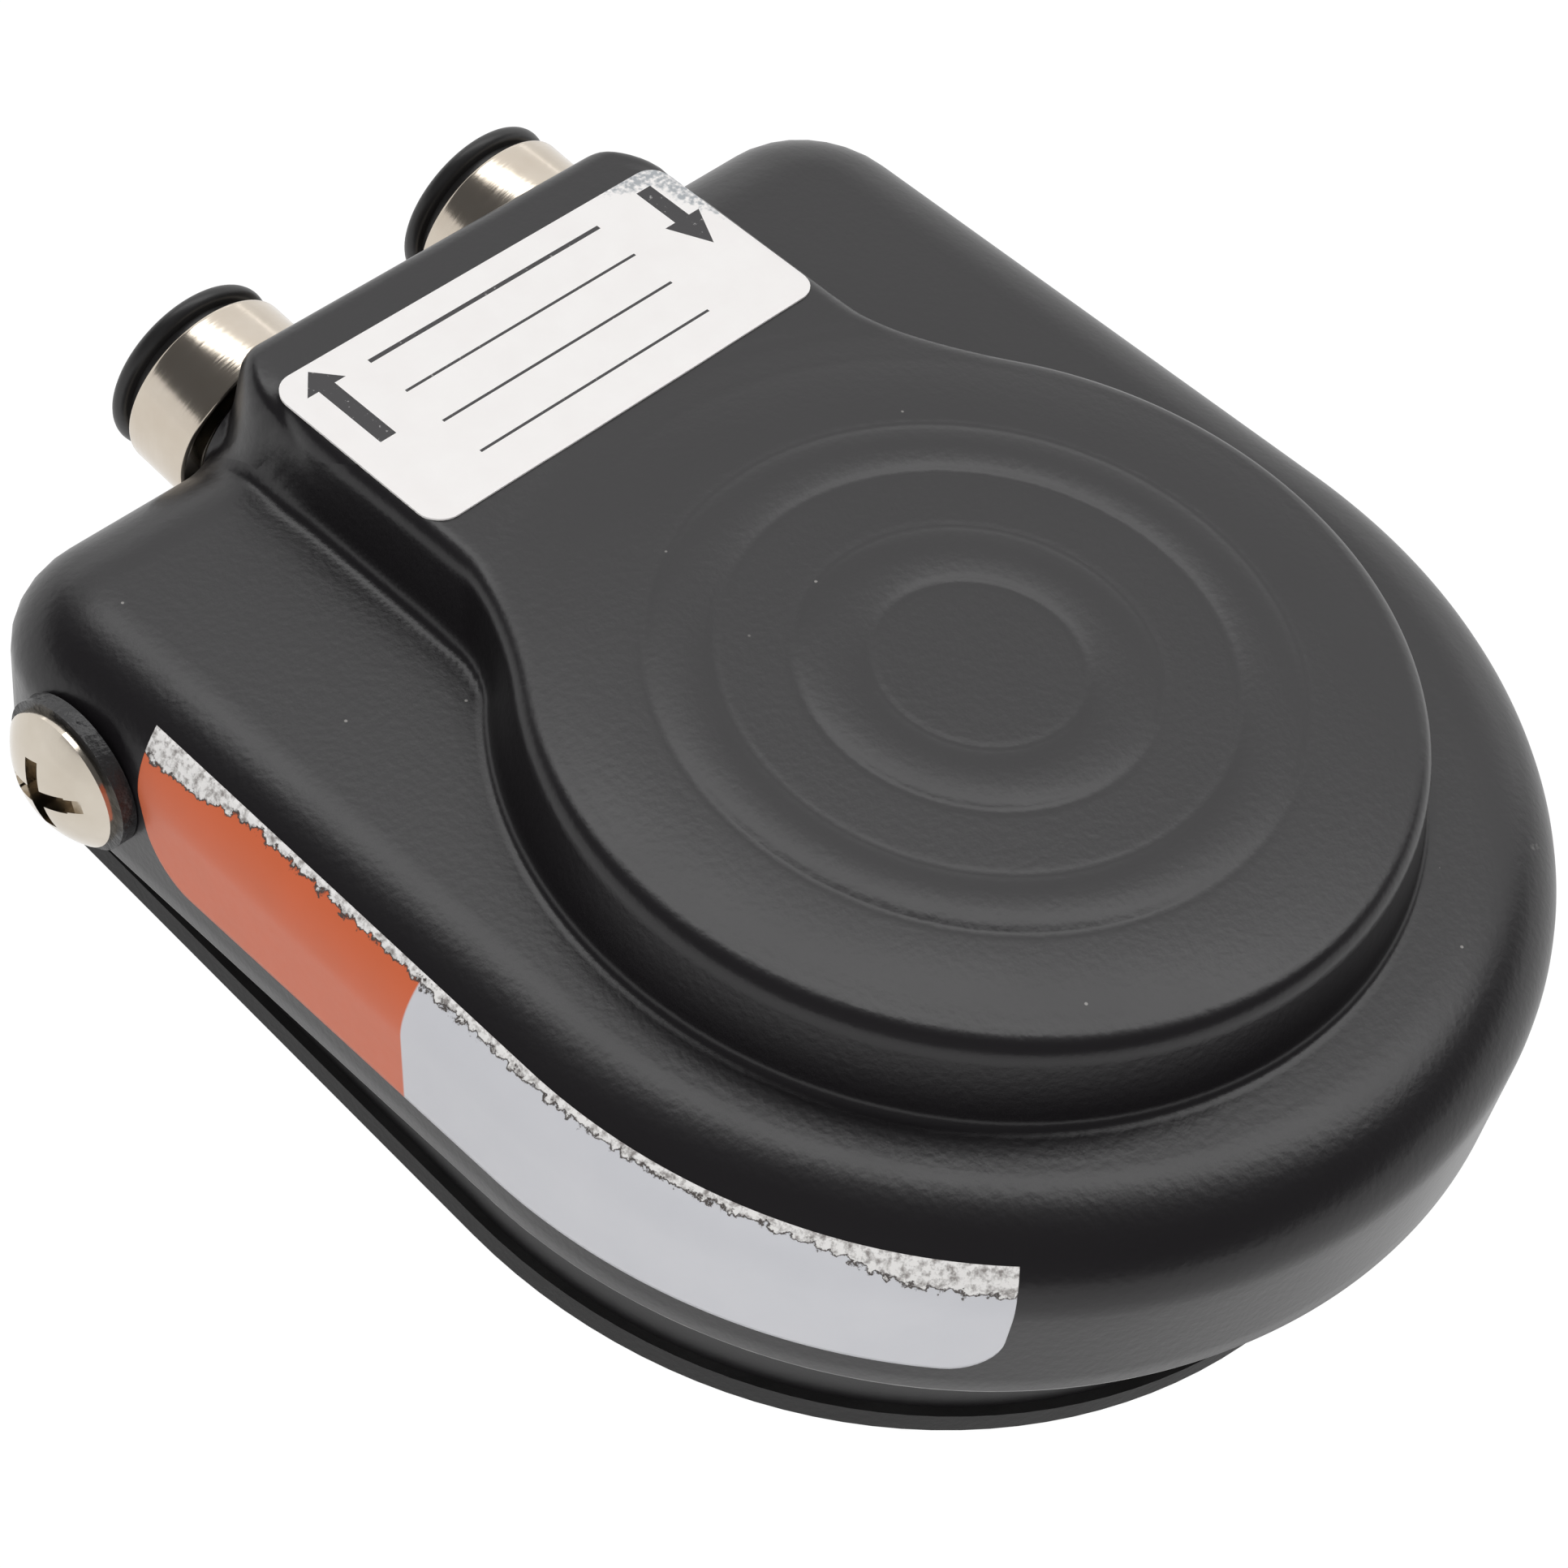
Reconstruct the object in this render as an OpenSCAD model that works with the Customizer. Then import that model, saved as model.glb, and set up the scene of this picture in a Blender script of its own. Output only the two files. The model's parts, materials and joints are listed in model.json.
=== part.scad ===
// Foot pedal air valve: a hinged drawn-steel pedal over a base pan that carries a two-way poppet valve.
// Millimetres. +Z up, +Y to the rear where the tubes plug in, +X to the operator's right.
// The origin is on the floor, under the centre of the base pan's round front.

/* [Pedal cover] */
// Width of the cover; the front is half a circle of this width
cover_w = 73; // [68:0.5:80]
// From the pad's centre back to the rear face
cover_back = 46; // [43:0.5:52]
// Plan radius of the two rear corners
rear_corner_r = 8; // [6:0.5:12]
// Thickness of the drawn sheet
sheet_t = 1.2; // [0.8:0.1:1.4]
// Rounding between the shelf and the skirt
shoulder_r = 3.2; // [3:0.1:5]
// Depth of the skirt below the shelf
skirt_drop = 11.6; // [11:0.1:14]

/* [Foot pad] */
// Radius of the round pad's wall
pad_r = 26.9; // [25:0.25:28]
// Rounding of the pad's top edge
pad_edge_r = 2.4; // [2:0.1:4.5]
// Height of the pad above the shelf
pad_rise = 6.7; // [5:0.1:7]
// Fillet where the pad and the hump meet the shelf
foot_fillet_r = 1.2; // [1:0.1:2]
// Mid radius of the outer raised ring
outer_ring_r = 17.15; // [16:0.25:19]
// Width of the outer raised ring
outer_ring_w = 3.9; // [3:0.1:5]
// Mid radius of the inner raised ring
inner_ring_r = 8.5; // [7.5:0.25:10]
// Width of the inner raised ring
inner_ring_w = 4.4; // [3:0.1:5]
// Height of both rings above the pad
ring_rise = 0.35; // [0.2:0.05:0.8]

/* [Rear hump] */
// Width of the raised hump that joins the pad to the rear face
hump_w = 35.6; // [34:0.2:38]
// Rounding of the hump's top edges
hump_edge_r = 1.6; // [1.5:0.1:3]
// Plan radius of the hump's rear corners
hump_corner_r = 4.5; // [4.2:0.2:7]
// How far the hump's top lies below the pad's top
hump_step = 0.45; // [0.2:0.05:1]

/* [Labels] */
// Length of the name label across the hump
name_label_l = 32.4; // [28:0.2:33]
// Width of the name label along the hump
name_label_w = 14.6; // [12:0.2:16]
// Gap between the pad's wall and the name label
name_label_gap = 0.5; // [0.2:0.1:2]
// Corner radius of the labels
label_corner_r = 1.6; // [0.8:0.1:2.2]
// Thickness of the label film
label_t = 0.15; // [0.1:0.05:0.3]
// Where the side sticker starts on the flat left side, behind the pad's centre
sticker_start = 29.2; // [24:0.2:29.4]
// How far the side sticker runs round the curved front, in degrees
sticker_sweep = 47; // [30:1:70]
// Height of the side sticker's lower edge above the skirt's edge
sticker_lift = 2.7; // [2:0.1:3.5]
// How far the side sticker climbs the rounded shoulder, in degrees
sticker_climb = 73; // [30:1:75]

/* [Hinge] */
// Hinge axis behind the pad's centre
hinge_back = 34.5; // [32:0.5:36]
// Hinge axis below the pad's top
hinge_drop = 12.4; // [11.5:0.1:13]
// How far the pedal turns, from rest to level
press_angle = 5; // [3:0.25:6]
// Radius of the hinge screw's shank
screw_r = 1.98; // [1.7:0.02:2.2]
// Radius of the hinge screw's head
screw_head_r = 4.45; // [4:0.05:5]
// Height of the hinge screw's head
screw_head_h = 2.3; // [1.8:0.1:2.8]
// Radius of the hinge bush's barrel, on which the cover turns
bush_r = 3.1; // [2.9:0.05:3.4]
// Radius of the hinge bush's flange
bush_flange_r = 4.95; // [4.6:0.05:5.5]
// Thickness of the hinge bush's flange
bush_flange_t = 1; // [0.8:0.1:1.4]
// Running clearance between bush and cover, and screw and bush
hinge_clear = 0.08; // [0.05:0.01:0.1]
// Thickness of the clinch nut
nut_t = 3; // [2.4:0.1:4]
// Radius of the clinch nut
nut_r = 3.7; // [3.4:0.1:4.2]

/* [Base] */
// Hinge axis behind the centre of the base's round front
hinge_y = 33.3; // [31:0.1:36]
// Thickness of the non-slip mat
mat_t = 1.8; // [1.8:0.1:2.6]
// How far the mat's lip stands out round the pan
mat_lip = 0.6; // [0.2:0.1:0.8]
// Thickness of the pan's sheet
pan_t = 1.6; // [1.2:0.1:2]
// Side gap between the pan's rim and the inside of the cover
base_gap = 0.9; // [0.6:0.1:1.2]
// Gap left at each end of the pedal's travel
stop_gap = 0.3; // [0.2:0.05:0.5]
// Radius of the pan's rear corners
pan_corner_r = 6; // [4:0.5:9]
// Radius of the floor mounting holes
floor_hole_r = 2.3; // [2:0.1:2.6]
// Distance between the two floor mounting holes
floor_hole_pitch = 46; // [44:1:50]
// Mounting holes behind the centre of the base's round front
floor_hole_y = 2; // [0:0.5:5]
// Radius of the rubber stop posts
bumper_r = 3.4; // [2.6:0.1:3.8]
// Stop posts ahead of the hinge axis
bumper_ahead = 19.3; // [17:0.1:22]
// Radius of the stop post's plug through the pan
bumper_plug_r = 1.6; // [1.2:0.1:2]

/* [Return spring] */
// Mean radius of the pedal's return spring
spring_r = 4.2; // [3.4:0.1:4.4]
// Wire radius of the return spring
spring_wire_r = 0.45; // [0.35:0.05:0.5]
// Working turns of the return spring
spring_turns = 6; // [5:1:8]
// Height of the spring cup's wall
cup_h = 2.6; // [2:0.1:4]
// Thickness of the spring cup's sheet
cup_t = 0.8; // [0.6:0.1:1]

/* [Valve] */
// Distance between the two tube axes
port_pitch = 24.4; // [24:0.2:26]
// Front face of the valve block ahead of the stem's axis
block_ahead = 6.6; // [6.4:0.1:7]
// Rear face of the valve block behind the hinge axis
block_behind = 7.2; // [6.5:0.1:7.5]
// Wall of the block round each port
port_wall = 1.4; // [1.2:0.1:1.8]
// Valve stem ahead of the hinge axis
stem_ahead = 20.3; // [20:0.1:21]
// Radius of the valve stem
stem_r = 1.6; // [1.4:0.05:1.8]
// Running clearance of the stem in its guide
stem_clear = 0.05; // [0.03:0.01:0.1]
// Thickness of the striker plate under the cover
plate_t = 2.7; // [2.2:0.1:3]
// Width of the striker plate
plate_w = 10; // [8:0.5:12]
// Radius of the valve seat's opening
seat_r = 2.8; // [2.5:0.1:3]
// Thickness of the seat's web
seat_t = 1; // [0.8:0.1:1.4]
// Height of the outlet chamber above the seat
outlet_chamber_h = 2.4; // [2.4:0.1:2.8]
// Height of the inlet chamber below the seat
inlet_chamber_h = 5.2; // [5:0.1:5.6]
// Radius of the poppet disc
poppet_r = 3.8; // [3.6:0.1:4]
// Thickness of the poppet disc
poppet_t = 1.2; // [1:0.1:1.4]
// Thickness of the poppet's rubber seal
seal_t = 0.8; // [0.6:0.1:1]
// Radius of the bottom plug
plug_r = 5.4; // [5.2:0.1:5.8]
// Thickness of the bottom plug
plug_t = 2.2; // [2:0.1:2.4]
// Radius of the stem guide's threaded body
guide_r = 5; // [4.6:0.1:5.2]
// Radius of the stem guide's flange
guide_flange_r = 6.2; // [5.8:0.1:6.4]
// Thickness of the stem guide's flange
guide_flange_t = 0.8; // [0.6:0.1:1]
// Radius of the air passages
passage_r = 1.9; // [1.6:0.1:2]
// Radius of the cross drillings and their plugs
cross_r = 1.1; // [0.9:0.05:1.1]
// Radius of the block's mounting screws
block_screw_r = 1.5; // [1.3:0.1:1.7]
// Distance between the block's mounting screws
block_screw_pitch = 13; // [11:0.5:13.5]

/* [Push-in fittings] */
// Radius of the tube socket, for 6.35 mm tube
tube_r = 3.25; // [3.22:0.01:3.3]
// Radius of the threaded neck
neck_r = 4.5; // [4.4:0.05:4.6]
// Radius of the round nickel-plated barrel
barrel_r = 6.25; // [6.1:0.05:6.6]
// Length of the barrel
barrel_l = 5.1; // [5:0.1:6]
// Gap between the barrel and the cover's rear face
barrel_gap = 1.2; // [1:0.1:1.6]
// Radius of the release collet's flange
collet_flange_r = 6.1; // [5.8:0.05:6.2]
// Thickness of the release collet's flange
collet_flange_t = 1.2; // [1:0.1:1.5]
// How far the release collet pushes in
collet_travel = 0.7; // [0.5:0.05:0.7]
// Length of thread inside the block
thread_l = 7.2; // [6:0.2:8]

/* [Hidden] */
$fn = 96;
// Small overlap used only where a cut passes through a face
cut = 1;
// Gap between flat faces of pieces that lie on each other
seat_gap = 0.02;

// Plan of the cover and the pan
cover_half = cover_w / 2;
cover_inner_half = cover_half - sheet_t;
pan_half = cover_inner_half - base_gap;
skirt_depth = pad_rise + skirt_drop;
name_label_y = pad_r + name_label_gap;

// Heights: the rear skirt's edge rests just above the pan's floor
floor_z = mat_t + pan_t;
rest_drop = (cover_back - hinge_back) * sin(press_angle) + (skirt_depth - hinge_drop) * cos(press_angle);
hinge_z = floor_z + stop_gap + rest_drop;
level_pad_z = hinge_z + hinge_drop;
level_shelf_under = level_pad_z - pad_rise - sheet_t;
level_plate_under = level_pad_z - sheet_t - seat_gap - plate_t;

// The pan's rim stays clear of the rounded shoulder when the pedal is level
inner_shoulder_r = shoulder_r - sheet_t;
shoulder_fall = inner_shoulder_r - sqrt(pow(inner_shoulder_r, 2) - pow(inner_shoulder_r - base_gap, 2));
rim_clear = 0.8;
rim_top_z = level_shelf_under - shoulder_fall - stop_gap - rim_clear;
pan_rear_inset = 0.4;
pan_rear = hinge_y + cover_back - hinge_back - pan_rear_inset;
rim_behind_hinge = 5;
rim_rear = hinge_y + rim_behind_hinge;
bumper_rim_gap = 0.6;
mat_hole_gap = 0.3;

// Valve block and ports
block_head_room = 0.7;
block_top = level_plate_under - block_head_room - guide_flange_t;
block_half = port_pitch / 2 + neck_r + port_wall;
hump_side_gap = 0.4;
block_upper_half = hump_w / 2 - sheet_t - hump_side_gap;
block_step_gap = 0.9;
block_step_z = level_shelf_under - block_step_gap;
port_z = block_top - port_wall - neck_r;
port_x = port_pitch / 2;
stem_y = hinge_y - stem_ahead;
block_front = stem_y - block_ahead;
block_rear = hinge_y + block_behind;
thread_clear = 0.05;
block_screw_behind = 11;
block_screw_y = stem_y + block_screw_behind;
block_screw_depth = 7;
screw_end_gap = 0.3;
port_end_gap = 0.4;
screw_head_gap = 0.1;
block_screw_head_r = 2 * block_screw_r;
block_screw_head_t = mat_t - screw_head_gap;

// Heights inside the valve, from the bottom up
plug_top = floor_z + plug_t;
seat_under = plug_top + inlet_chamber_h;
seat_top = seat_under + seat_t;
outlet_top = seat_top + outlet_chamber_h;
seal_gap = 0.05;
seal_top = seat_under - seal_gap;
poppet_top = seal_top - seal_t;
poppet_under = poppet_top - poppet_t;
poppet_side_gap = 0.8;
inlet_chamber_r = poppet_r + poppet_side_gap;
guide_ledge = 1.4;
outlet_chamber_r = guide_r - guide_ledge;
poppet_spring_inset = 0.2;
poppet_spring_r = seat_r - poppet_spring_inset;
plug_pocket_depth = 1.2;
plug_pocket_side = 0.6;
plug_pocket_r = seat_r + plug_pocket_side;
plug_groove_depth = 0.8;
stem_gland_depth = 1.3;
stem_gland_r = stem_r + stem_gland_depth;
inlet_cross_z = plug_top + inlet_chamber_h / 2;
outlet_cross_z = seat_top + outlet_chamber_h / 2;

// Stem: its dome almost touches the striker plate at rest
plate_arm = hinge_drop - sheet_t - seat_gap - plate_t;
plate_reach = (stem_ahead + plate_arm * sin(press_angle)) / cos(press_angle);
rest_plate_under = hinge_z + plate_reach * sin(press_angle) + plate_arm * cos(press_angle);
stem_gap = 0.15;
stem_top = rest_plate_under - stem_gap;

// Return spring, cut to the slope of the cover's underside at rest
rest_pad_under = hinge_z + hinge_back * sin(press_angle) + (hinge_drop - sheet_t) * cos(press_angle);
spring_foot_z = floor_z + cup_t;
spring_head_gap = 0.25;
spring_head_z = rest_pad_under - spring_head_gap;
cup_clear = 0.15;

// Push-in fitting, along Y from its thread to the collet's face
barrel_y = hinge_y + cover_back - hinge_back + barrel_gap;
rim_y = barrel_y + barrel_l;
neck_y = block_rear - thread_l;
tube_stop_step = 0.85;
flow_r = tube_r - tube_stop_step;
socket_ahead = 4;
tube_stop_y = barrel_y - socket_ahead;
gland_wall = 0.7;
seal_gland_y = barrel_y + gland_wall;
seal_gland_l = 1.4;
gland_depth = 1.5;
gland_r = tube_r + gland_depth;
tube_gap = 0.15;
grab_tip_gap = 0.4;
grab_y = seal_gland_y + seal_gland_l;
grab_l = 0.8;
grab_step = 0.25;
grab_recess_r = gland_r + grab_step;
collet_clear = 0.1;
collet_wall = 1.2;
collet_sleeve_r = tube_r + collet_wall;
collet_bore_r = collet_sleeve_r + collet_clear;
collet_neck_wall = 2.05;
collet_neck_r = tube_r + collet_neck_wall;
collet_mouth_r = collet_neck_r + 2 * collet_clear;
collet_mouth_l = 1.1;
collet_flange_y = rim_y + collet_travel + collet_clear;
collet_end_y = collet_flange_y + collet_flange_t;

// Rear notches of the cover clear the necks over the whole travel
notch_swing = (cover_back - hinge_back) * sin(press_angle);
notch_gap = 0.6;
notch_r = neck_r + notch_swing / 2 + notch_gap;
notch_z = port_z - level_pad_z + notch_swing / 2;

// Colours as the finished pieces show them
paint_black = [0.12, 0.12, 0.125];
rubber_black = [0.07, 0.07, 0.07];
nickel = [0.80, 0.77, 0.72];
brass = [0.78, 0.62, 0.32];
steel = [0.62, 0.63, 0.65];
alloy = [0.70, 0.71, 0.73];
acetal_black = [0.05, 0.05, 0.055];
sticker_orange = [0.82, 0.38, 0.23];

// Carries a shape drawn about the pad's centre into the pedal's rest position
module on_pedal() {
    translate([0, hinge_y, hinge_z])
        rotate([-press_angle, 0, 0])
            translate([0, -hinge_back, hinge_drop])
                children();
}

// Points a shape drawn along Z to the rear, along +Y
module along_y() {
    rotate([-90, 0, 0]) children();
}

// Points a shape drawn along Z to one side, +X for side 1 and -X for side -1
module along_x(side) {
    rotate([0, side * 90, 0]) children();
}

// Half of a section: a wall at reach with its top outer edge rounded
module edge_section(reach, z_low, z_top, edge_r) {
    translate([0, z_low]) square([reach - edge_r, z_top - z_low]);
    translate([0, z_low]) square([reach, z_top - edge_r - z_low]);
    translate([reach - edge_r, z_top - edge_r])
        intersection() {
            circle(edge_r);
            square(edge_r);
        }
}

// A solid with a round front, straight sides and round rear corners, rounded along its top edge
module horseshoe(half, rear, corner_r, z_low, z_top, edge_r) {
    side_end = rear - corner_r;
    rotate([0, 0, 180])
        rotate_extrude(angle = 180)
            edge_section(half, z_low, z_top, edge_r);
    translate([0, side_end, 0])
        rotate([90, 0, 0])
            linear_extrude(side_end) {
                edge_section(half, z_low, z_top, edge_r);
                mirror([1, 0]) edge_section(half, z_low, z_top, edge_r);
            }
    translate([corner_r - half, side_end, 0])
        rotate([90, 0, 90])
            linear_extrude(2 * (half - corner_r))
                edge_section(corner_r, z_low, z_top, edge_r);
    for (side = [0, 1])
        mirror([side, 0, 0])
            translate([half - corner_r, side_end, 0])
                rotate_extrude(angle = 90)
                    edge_section(corner_r, z_low, z_top, edge_r);
}

// A flat plate with the same plan
module horseshoe_plate(half, rear, corner_r, thick) {
    linear_extrude(thick) {
        difference() {
            circle(half);
            translate([-half - cut, 0]) square([2 * (half + cut), half + cut]);
        }
        translate([-half, 0]) square([2 * half, rear - corner_r]);
        translate([corner_r - half, 0]) square([2 * (half - corner_r), rear]);
        for (side = [-1, 1])
            translate([side * (half - corner_r), rear - corner_r]) circle(corner_r);
    }
}

// Section of a concave fillet in the corner at the origin, opening to +X and +Y, rooted in both walls
module fillet_section(r) {
    root = 0.2;
    difference() {
        translate([-root, -root]) square(r + root);
        translate([r, r]) circle(r);
    }
}

// A low raised ring with a round crown, shrunk by inset for the underside
module raised_ring(mid_r, width, inset) {
    crown_r = (pow(width / 2, 2) + pow(ring_rise, 2)) / (2 * ring_rise);
    rotate_extrude()
        translate([mid_r, 0])
            intersection() {
                translate([0, ring_rise - crown_r]) circle(crown_r - inset);
                translate([-width / 2, -inset - cut]) square([width, ring_rise + cut]);
            }
}

// The cover as a solid about the pad's centre, shrunk by inset on every side
module cover_form(inset, z_low) {
    shelf_z = -pad_rise - inset;
    fillet_r = foot_fillet_r + inset;
    horseshoe(cover_half - inset, cover_back - inset, rear_corner_r - inset,
        z_low, shelf_z, shoulder_r - inset);
    horseshoe(hump_w / 2 - inset, cover_back - inset, hump_corner_r - inset,
        z_low, -hump_step - inset, hump_edge_r - inset);
    rotate_extrude()
        edge_section(pad_r - inset, shelf_z - cut, -inset, pad_edge_r - inset);
    rotate_extrude()
        translate([pad_r - inset, shelf_z]) fillet_section(fillet_r);
    for (side = [0, 1])
        mirror([side, 0, 0])
            translate([hump_w / 2 - inset, cover_back - hump_corner_r, shelf_z])
                rotate([90, 0, 0])
                    linear_extrude(cover_back - hump_corner_r - pad_r / 2)
                        fillet_section(fillet_r);
    raised_ring(outer_ring_r, outer_ring_w, inset);
    raised_ring(inner_ring_r, inner_ring_w, inset);
}

// A washer-like ring along Z
module ring(outer_r, inner_r, height) {
    difference() {
        cylinder(r = outer_r, h = height);
        translate([0, 0, -cut]) cylinder(r = inner_r, h = height + 2 * cut);
    }
}

// A round-section seal about Z
module o_ring(inner_r, outer_r) {
    rotate_extrude()
        translate([(inner_r + outer_r) / 2, 0])
            circle(r = (outer_r - inner_r) / 2, $fn = 32);
}

// Height along a coil, as a share of its free wire path: one closed turn at each end
function coil_rise(turn, turns, wire_d, height) =
    turn < 1 ? turn * wire_d
    : turn > turns - 1 ? height - (turns - turn) * wire_d
    : wire_d + (turn - 1) * (height - 2 * wire_d) / (turns - 2);

// A compression spring about Z, its head sloped so that it falls towards +Y
module coil_spring(mean_r, wire_r, foot_z, head_z, turns, slope) {
    per_turn = 20;
    sides = 8;
    last = turns * per_turn;
    span = head_z - foot_z - 2 * wire_r;
    points = [
        for (i = [0 : last])
            let (
                a = 360 * i / per_turn,
                mid = wire_r + coil_rise(i / per_turn, turns, 2 * wire_r, span)
            )
            for (j = [0 : sides - 1])
                let (
                    b = 360 * j / sides,
                    y = (mean_r + wire_r * cos(b)) * sin(a),
                    z = mid + wire_r * sin(b)
                )
                [(mean_r + wire_r * cos(b)) * cos(a), y,
                 foot_z + z * (1 - slope * y / (head_z - foot_z))]
    ];
    tube = [
        for (i = [0 : last - 1])
            for (j = [0 : sides - 1])
                [i * sides + j, i * sides + (j + 1) % sides,
                 (i + 1) * sides + (j + 1) % sides, (i + 1) * sides + j]
    ];
    ends = [
        [for (j = [sides - 1 : -1 : 0]) j],
        [for (j = [0 : sides - 1]) last * sides + j]
    ];
    polyhedron(points, concat(tube, ends), convexity = 10);
}

// A flat label with round corners, about its centre
module label_shape(length, width, corner_r) {
    square([length, width - 2 * corner_r], center = true);
    square([length - 2 * corner_r, width], center = true);
    for (x = [-1, 1])
        for (y = [-1, 1])
            translate([x * (length / 2 - corner_r), y * (width / 2 - corner_r)])
                circle(corner_r, $fn = 32);
}

// Base group

module base_pan() {
    color(paint_black)
    difference() {
        union() {
            translate([0, 0, mat_t])
                horseshoe_plate(pan_half, pan_rear, pan_corner_r, pan_t);
            intersection() {
                difference() {
                    horseshoe_plate(pan_half, pan_rear, pan_corner_r, rim_top_z);
                    translate([0, 0, -cut])
                        horseshoe_plate(pan_half - pan_t, pan_rear + pan_t, pan_corner_r,
                            rim_top_z + 2 * cut);
                }
                translate([-cover_w, -cover_w, floor_z - pan_t / 2])
                    cube([2 * cover_w, cover_w + rim_rear, rim_top_z]);
            }
        }
        for (side = [-1, 1]) {
            translate([side * floor_hole_pitch / 2, floor_hole_y, 0])
                cylinder(r = floor_hole_r, h = floor_z + cut);
            translate([side * bumper_x(), hinge_y - bumper_ahead, 0])
                cylinder(r = bumper_plug_r + thread_clear, h = floor_z + cut);
            translate([side * (pan_half - pan_t - cut), hinge_y, hinge_z])
                along_x(side)
                    cylinder(r = screw_r + hinge_clear, h = pan_t + 2 * cut);
        }
        block_screw_places()
            cylinder(r = block_screw_r + thread_clear, h = floor_z + cut);
    }
}

// Sideways place of the stop posts, just inside the rim
function bumper_x() = pan_half - pan_t - bumper_rim_gap - bumper_r;

module block_screw_places() {
    for (i = [0, 1])
        translate([0, block_screw_y + i * block_screw_pitch, 0]) children();
}

module non_slip_mat() {
    color(rubber_black)
    difference() {
        horseshoe_plate(pan_half + mat_lip, pan_rear, pan_corner_r, mat_t);
        for (side = [-1, 1]) {
            translate([side * floor_hole_pitch / 2, floor_hole_y, -cut])
                cylinder(r = floor_hole_r, h = mat_t + 2 * cut);
            translate([side * bumper_x(), hinge_y - bumper_ahead, -cut])
                cylinder(r = bumper_plug_r + mat_hole_gap, h = mat_t + 2 * cut);
        }
        translate([0, 0, -cut])
            block_screw_places()
                cylinder(r = block_screw_head_r + mat_hole_gap, h = mat_t + 2 * cut);
    }
}

module stop_bumpers() {
    color(rubber_black)
    for (side = [-1, 1])
        translate([side * bumper_x(), hinge_y - bumper_ahead, 0]) {
            translate([0, 0, floor_z])
                cylinder(r = bumper_r, h = level_shelf_under - stop_gap - floor_z);
            translate([0, 0, mat_t])
                cylinder(r = bumper_plug_r, h = pan_t);
        }
}

module spring_cup() {
    cup_r = spring_r + spring_wire_r + cup_clear;
    color(steel)
    translate([0, 0, floor_z]) {
        cylinder(r = cup_r + cup_t, h = cup_t);
        ring(cup_r + cup_t, cup_r, cup_h);
    }
}

module pedal_return_spring() {
    color(steel)
        coil_spring(spring_r, spring_wire_r, spring_foot_z, spring_head_z,
            spring_turns + 2, tan(press_angle));
}

// Hinge group

// The left screw has a domed head; the right one ends flush with the cover, with a slot in its end
module hinge_screws() {
    head_x = cover_half + hinge_clear + bush_flange_t;
    shank_x = pan_half - pan_t - nut_t;
    dome_ease = 1;
    dome_r = (pow(screw_head_r, 2) + pow(screw_head_h, 2)) / (2 * screw_head_h) + dome_ease;
    slot_turn = 25;
    slot_w = 0.9;
    slot_depth = 0.9;
    cross_w = 1.1;
    cross_l = 4.6;
    cross_depth = 1.7;
    color(nickel)
    translate([0, hinge_y, hinge_z]) {
        along_x(-1) {
            translate([0, 0, shank_x]) cylinder(r = screw_r, h = head_x - shank_x);
            difference() {
                translate([0, 0, head_x])
                    intersection() {
                        cylinder(r = screw_head_r, h = screw_head_h);
                        translate([0, 0, screw_head_h - dome_r]) sphere(dome_r);
                    }
                translate([0, 0, head_x + screw_head_h])
                    rotate([0, 0, slot_turn]) {
                        cube([slot_w, 3 * screw_head_r, 2 * slot_depth], center = true);
                        cube([cross_l, cross_w, 2 * cross_depth], center = true);
                        cube([cross_w, cross_l, 2 * cross_depth], center = true);
                    }
            }
        }
        along_x(1)
            difference() {
                translate([0, 0, shank_x]) cylinder(r = screw_r, h = cover_half - shank_x);
                translate([0, 0, cover_half])
                    cube([slot_w, 3 * screw_r, 2 * slot_depth], center = true);
            }
    }
}

// The left bush has a flange under the screw's head; the right one ends flush with the cover
module hinge_bushes() {
    color(acetal_black)
    translate([0, hinge_y, hinge_z]) {
        for (side = [-1, 1])
            along_x(side)
                translate([0, 0, pan_half])
                    ring(bush_r, screw_r + hinge_clear, cover_half - pan_half + (side < 0 ? hinge_clear : 0));
        along_x(-1)
            translate([0, 0, cover_half + hinge_clear])
                ring(bush_flange_r, screw_r + hinge_clear, bush_flange_t);
    }
}

module hinge_nuts() {
    color(steel)
    for (side = [-1, 1])
        translate([0, hinge_y, hinge_z])
            along_x(side)
                translate([0, 0, pan_half - pan_t - nut_t])
                    difference() {
                        cylinder(r = nut_r, h = nut_t, $fn = 6);
                        translate([0, 0, -cut]) cylinder(r = screw_r + seat_gap, h = nut_t + 2 * cut);
                    }
}

// Valve group

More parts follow.
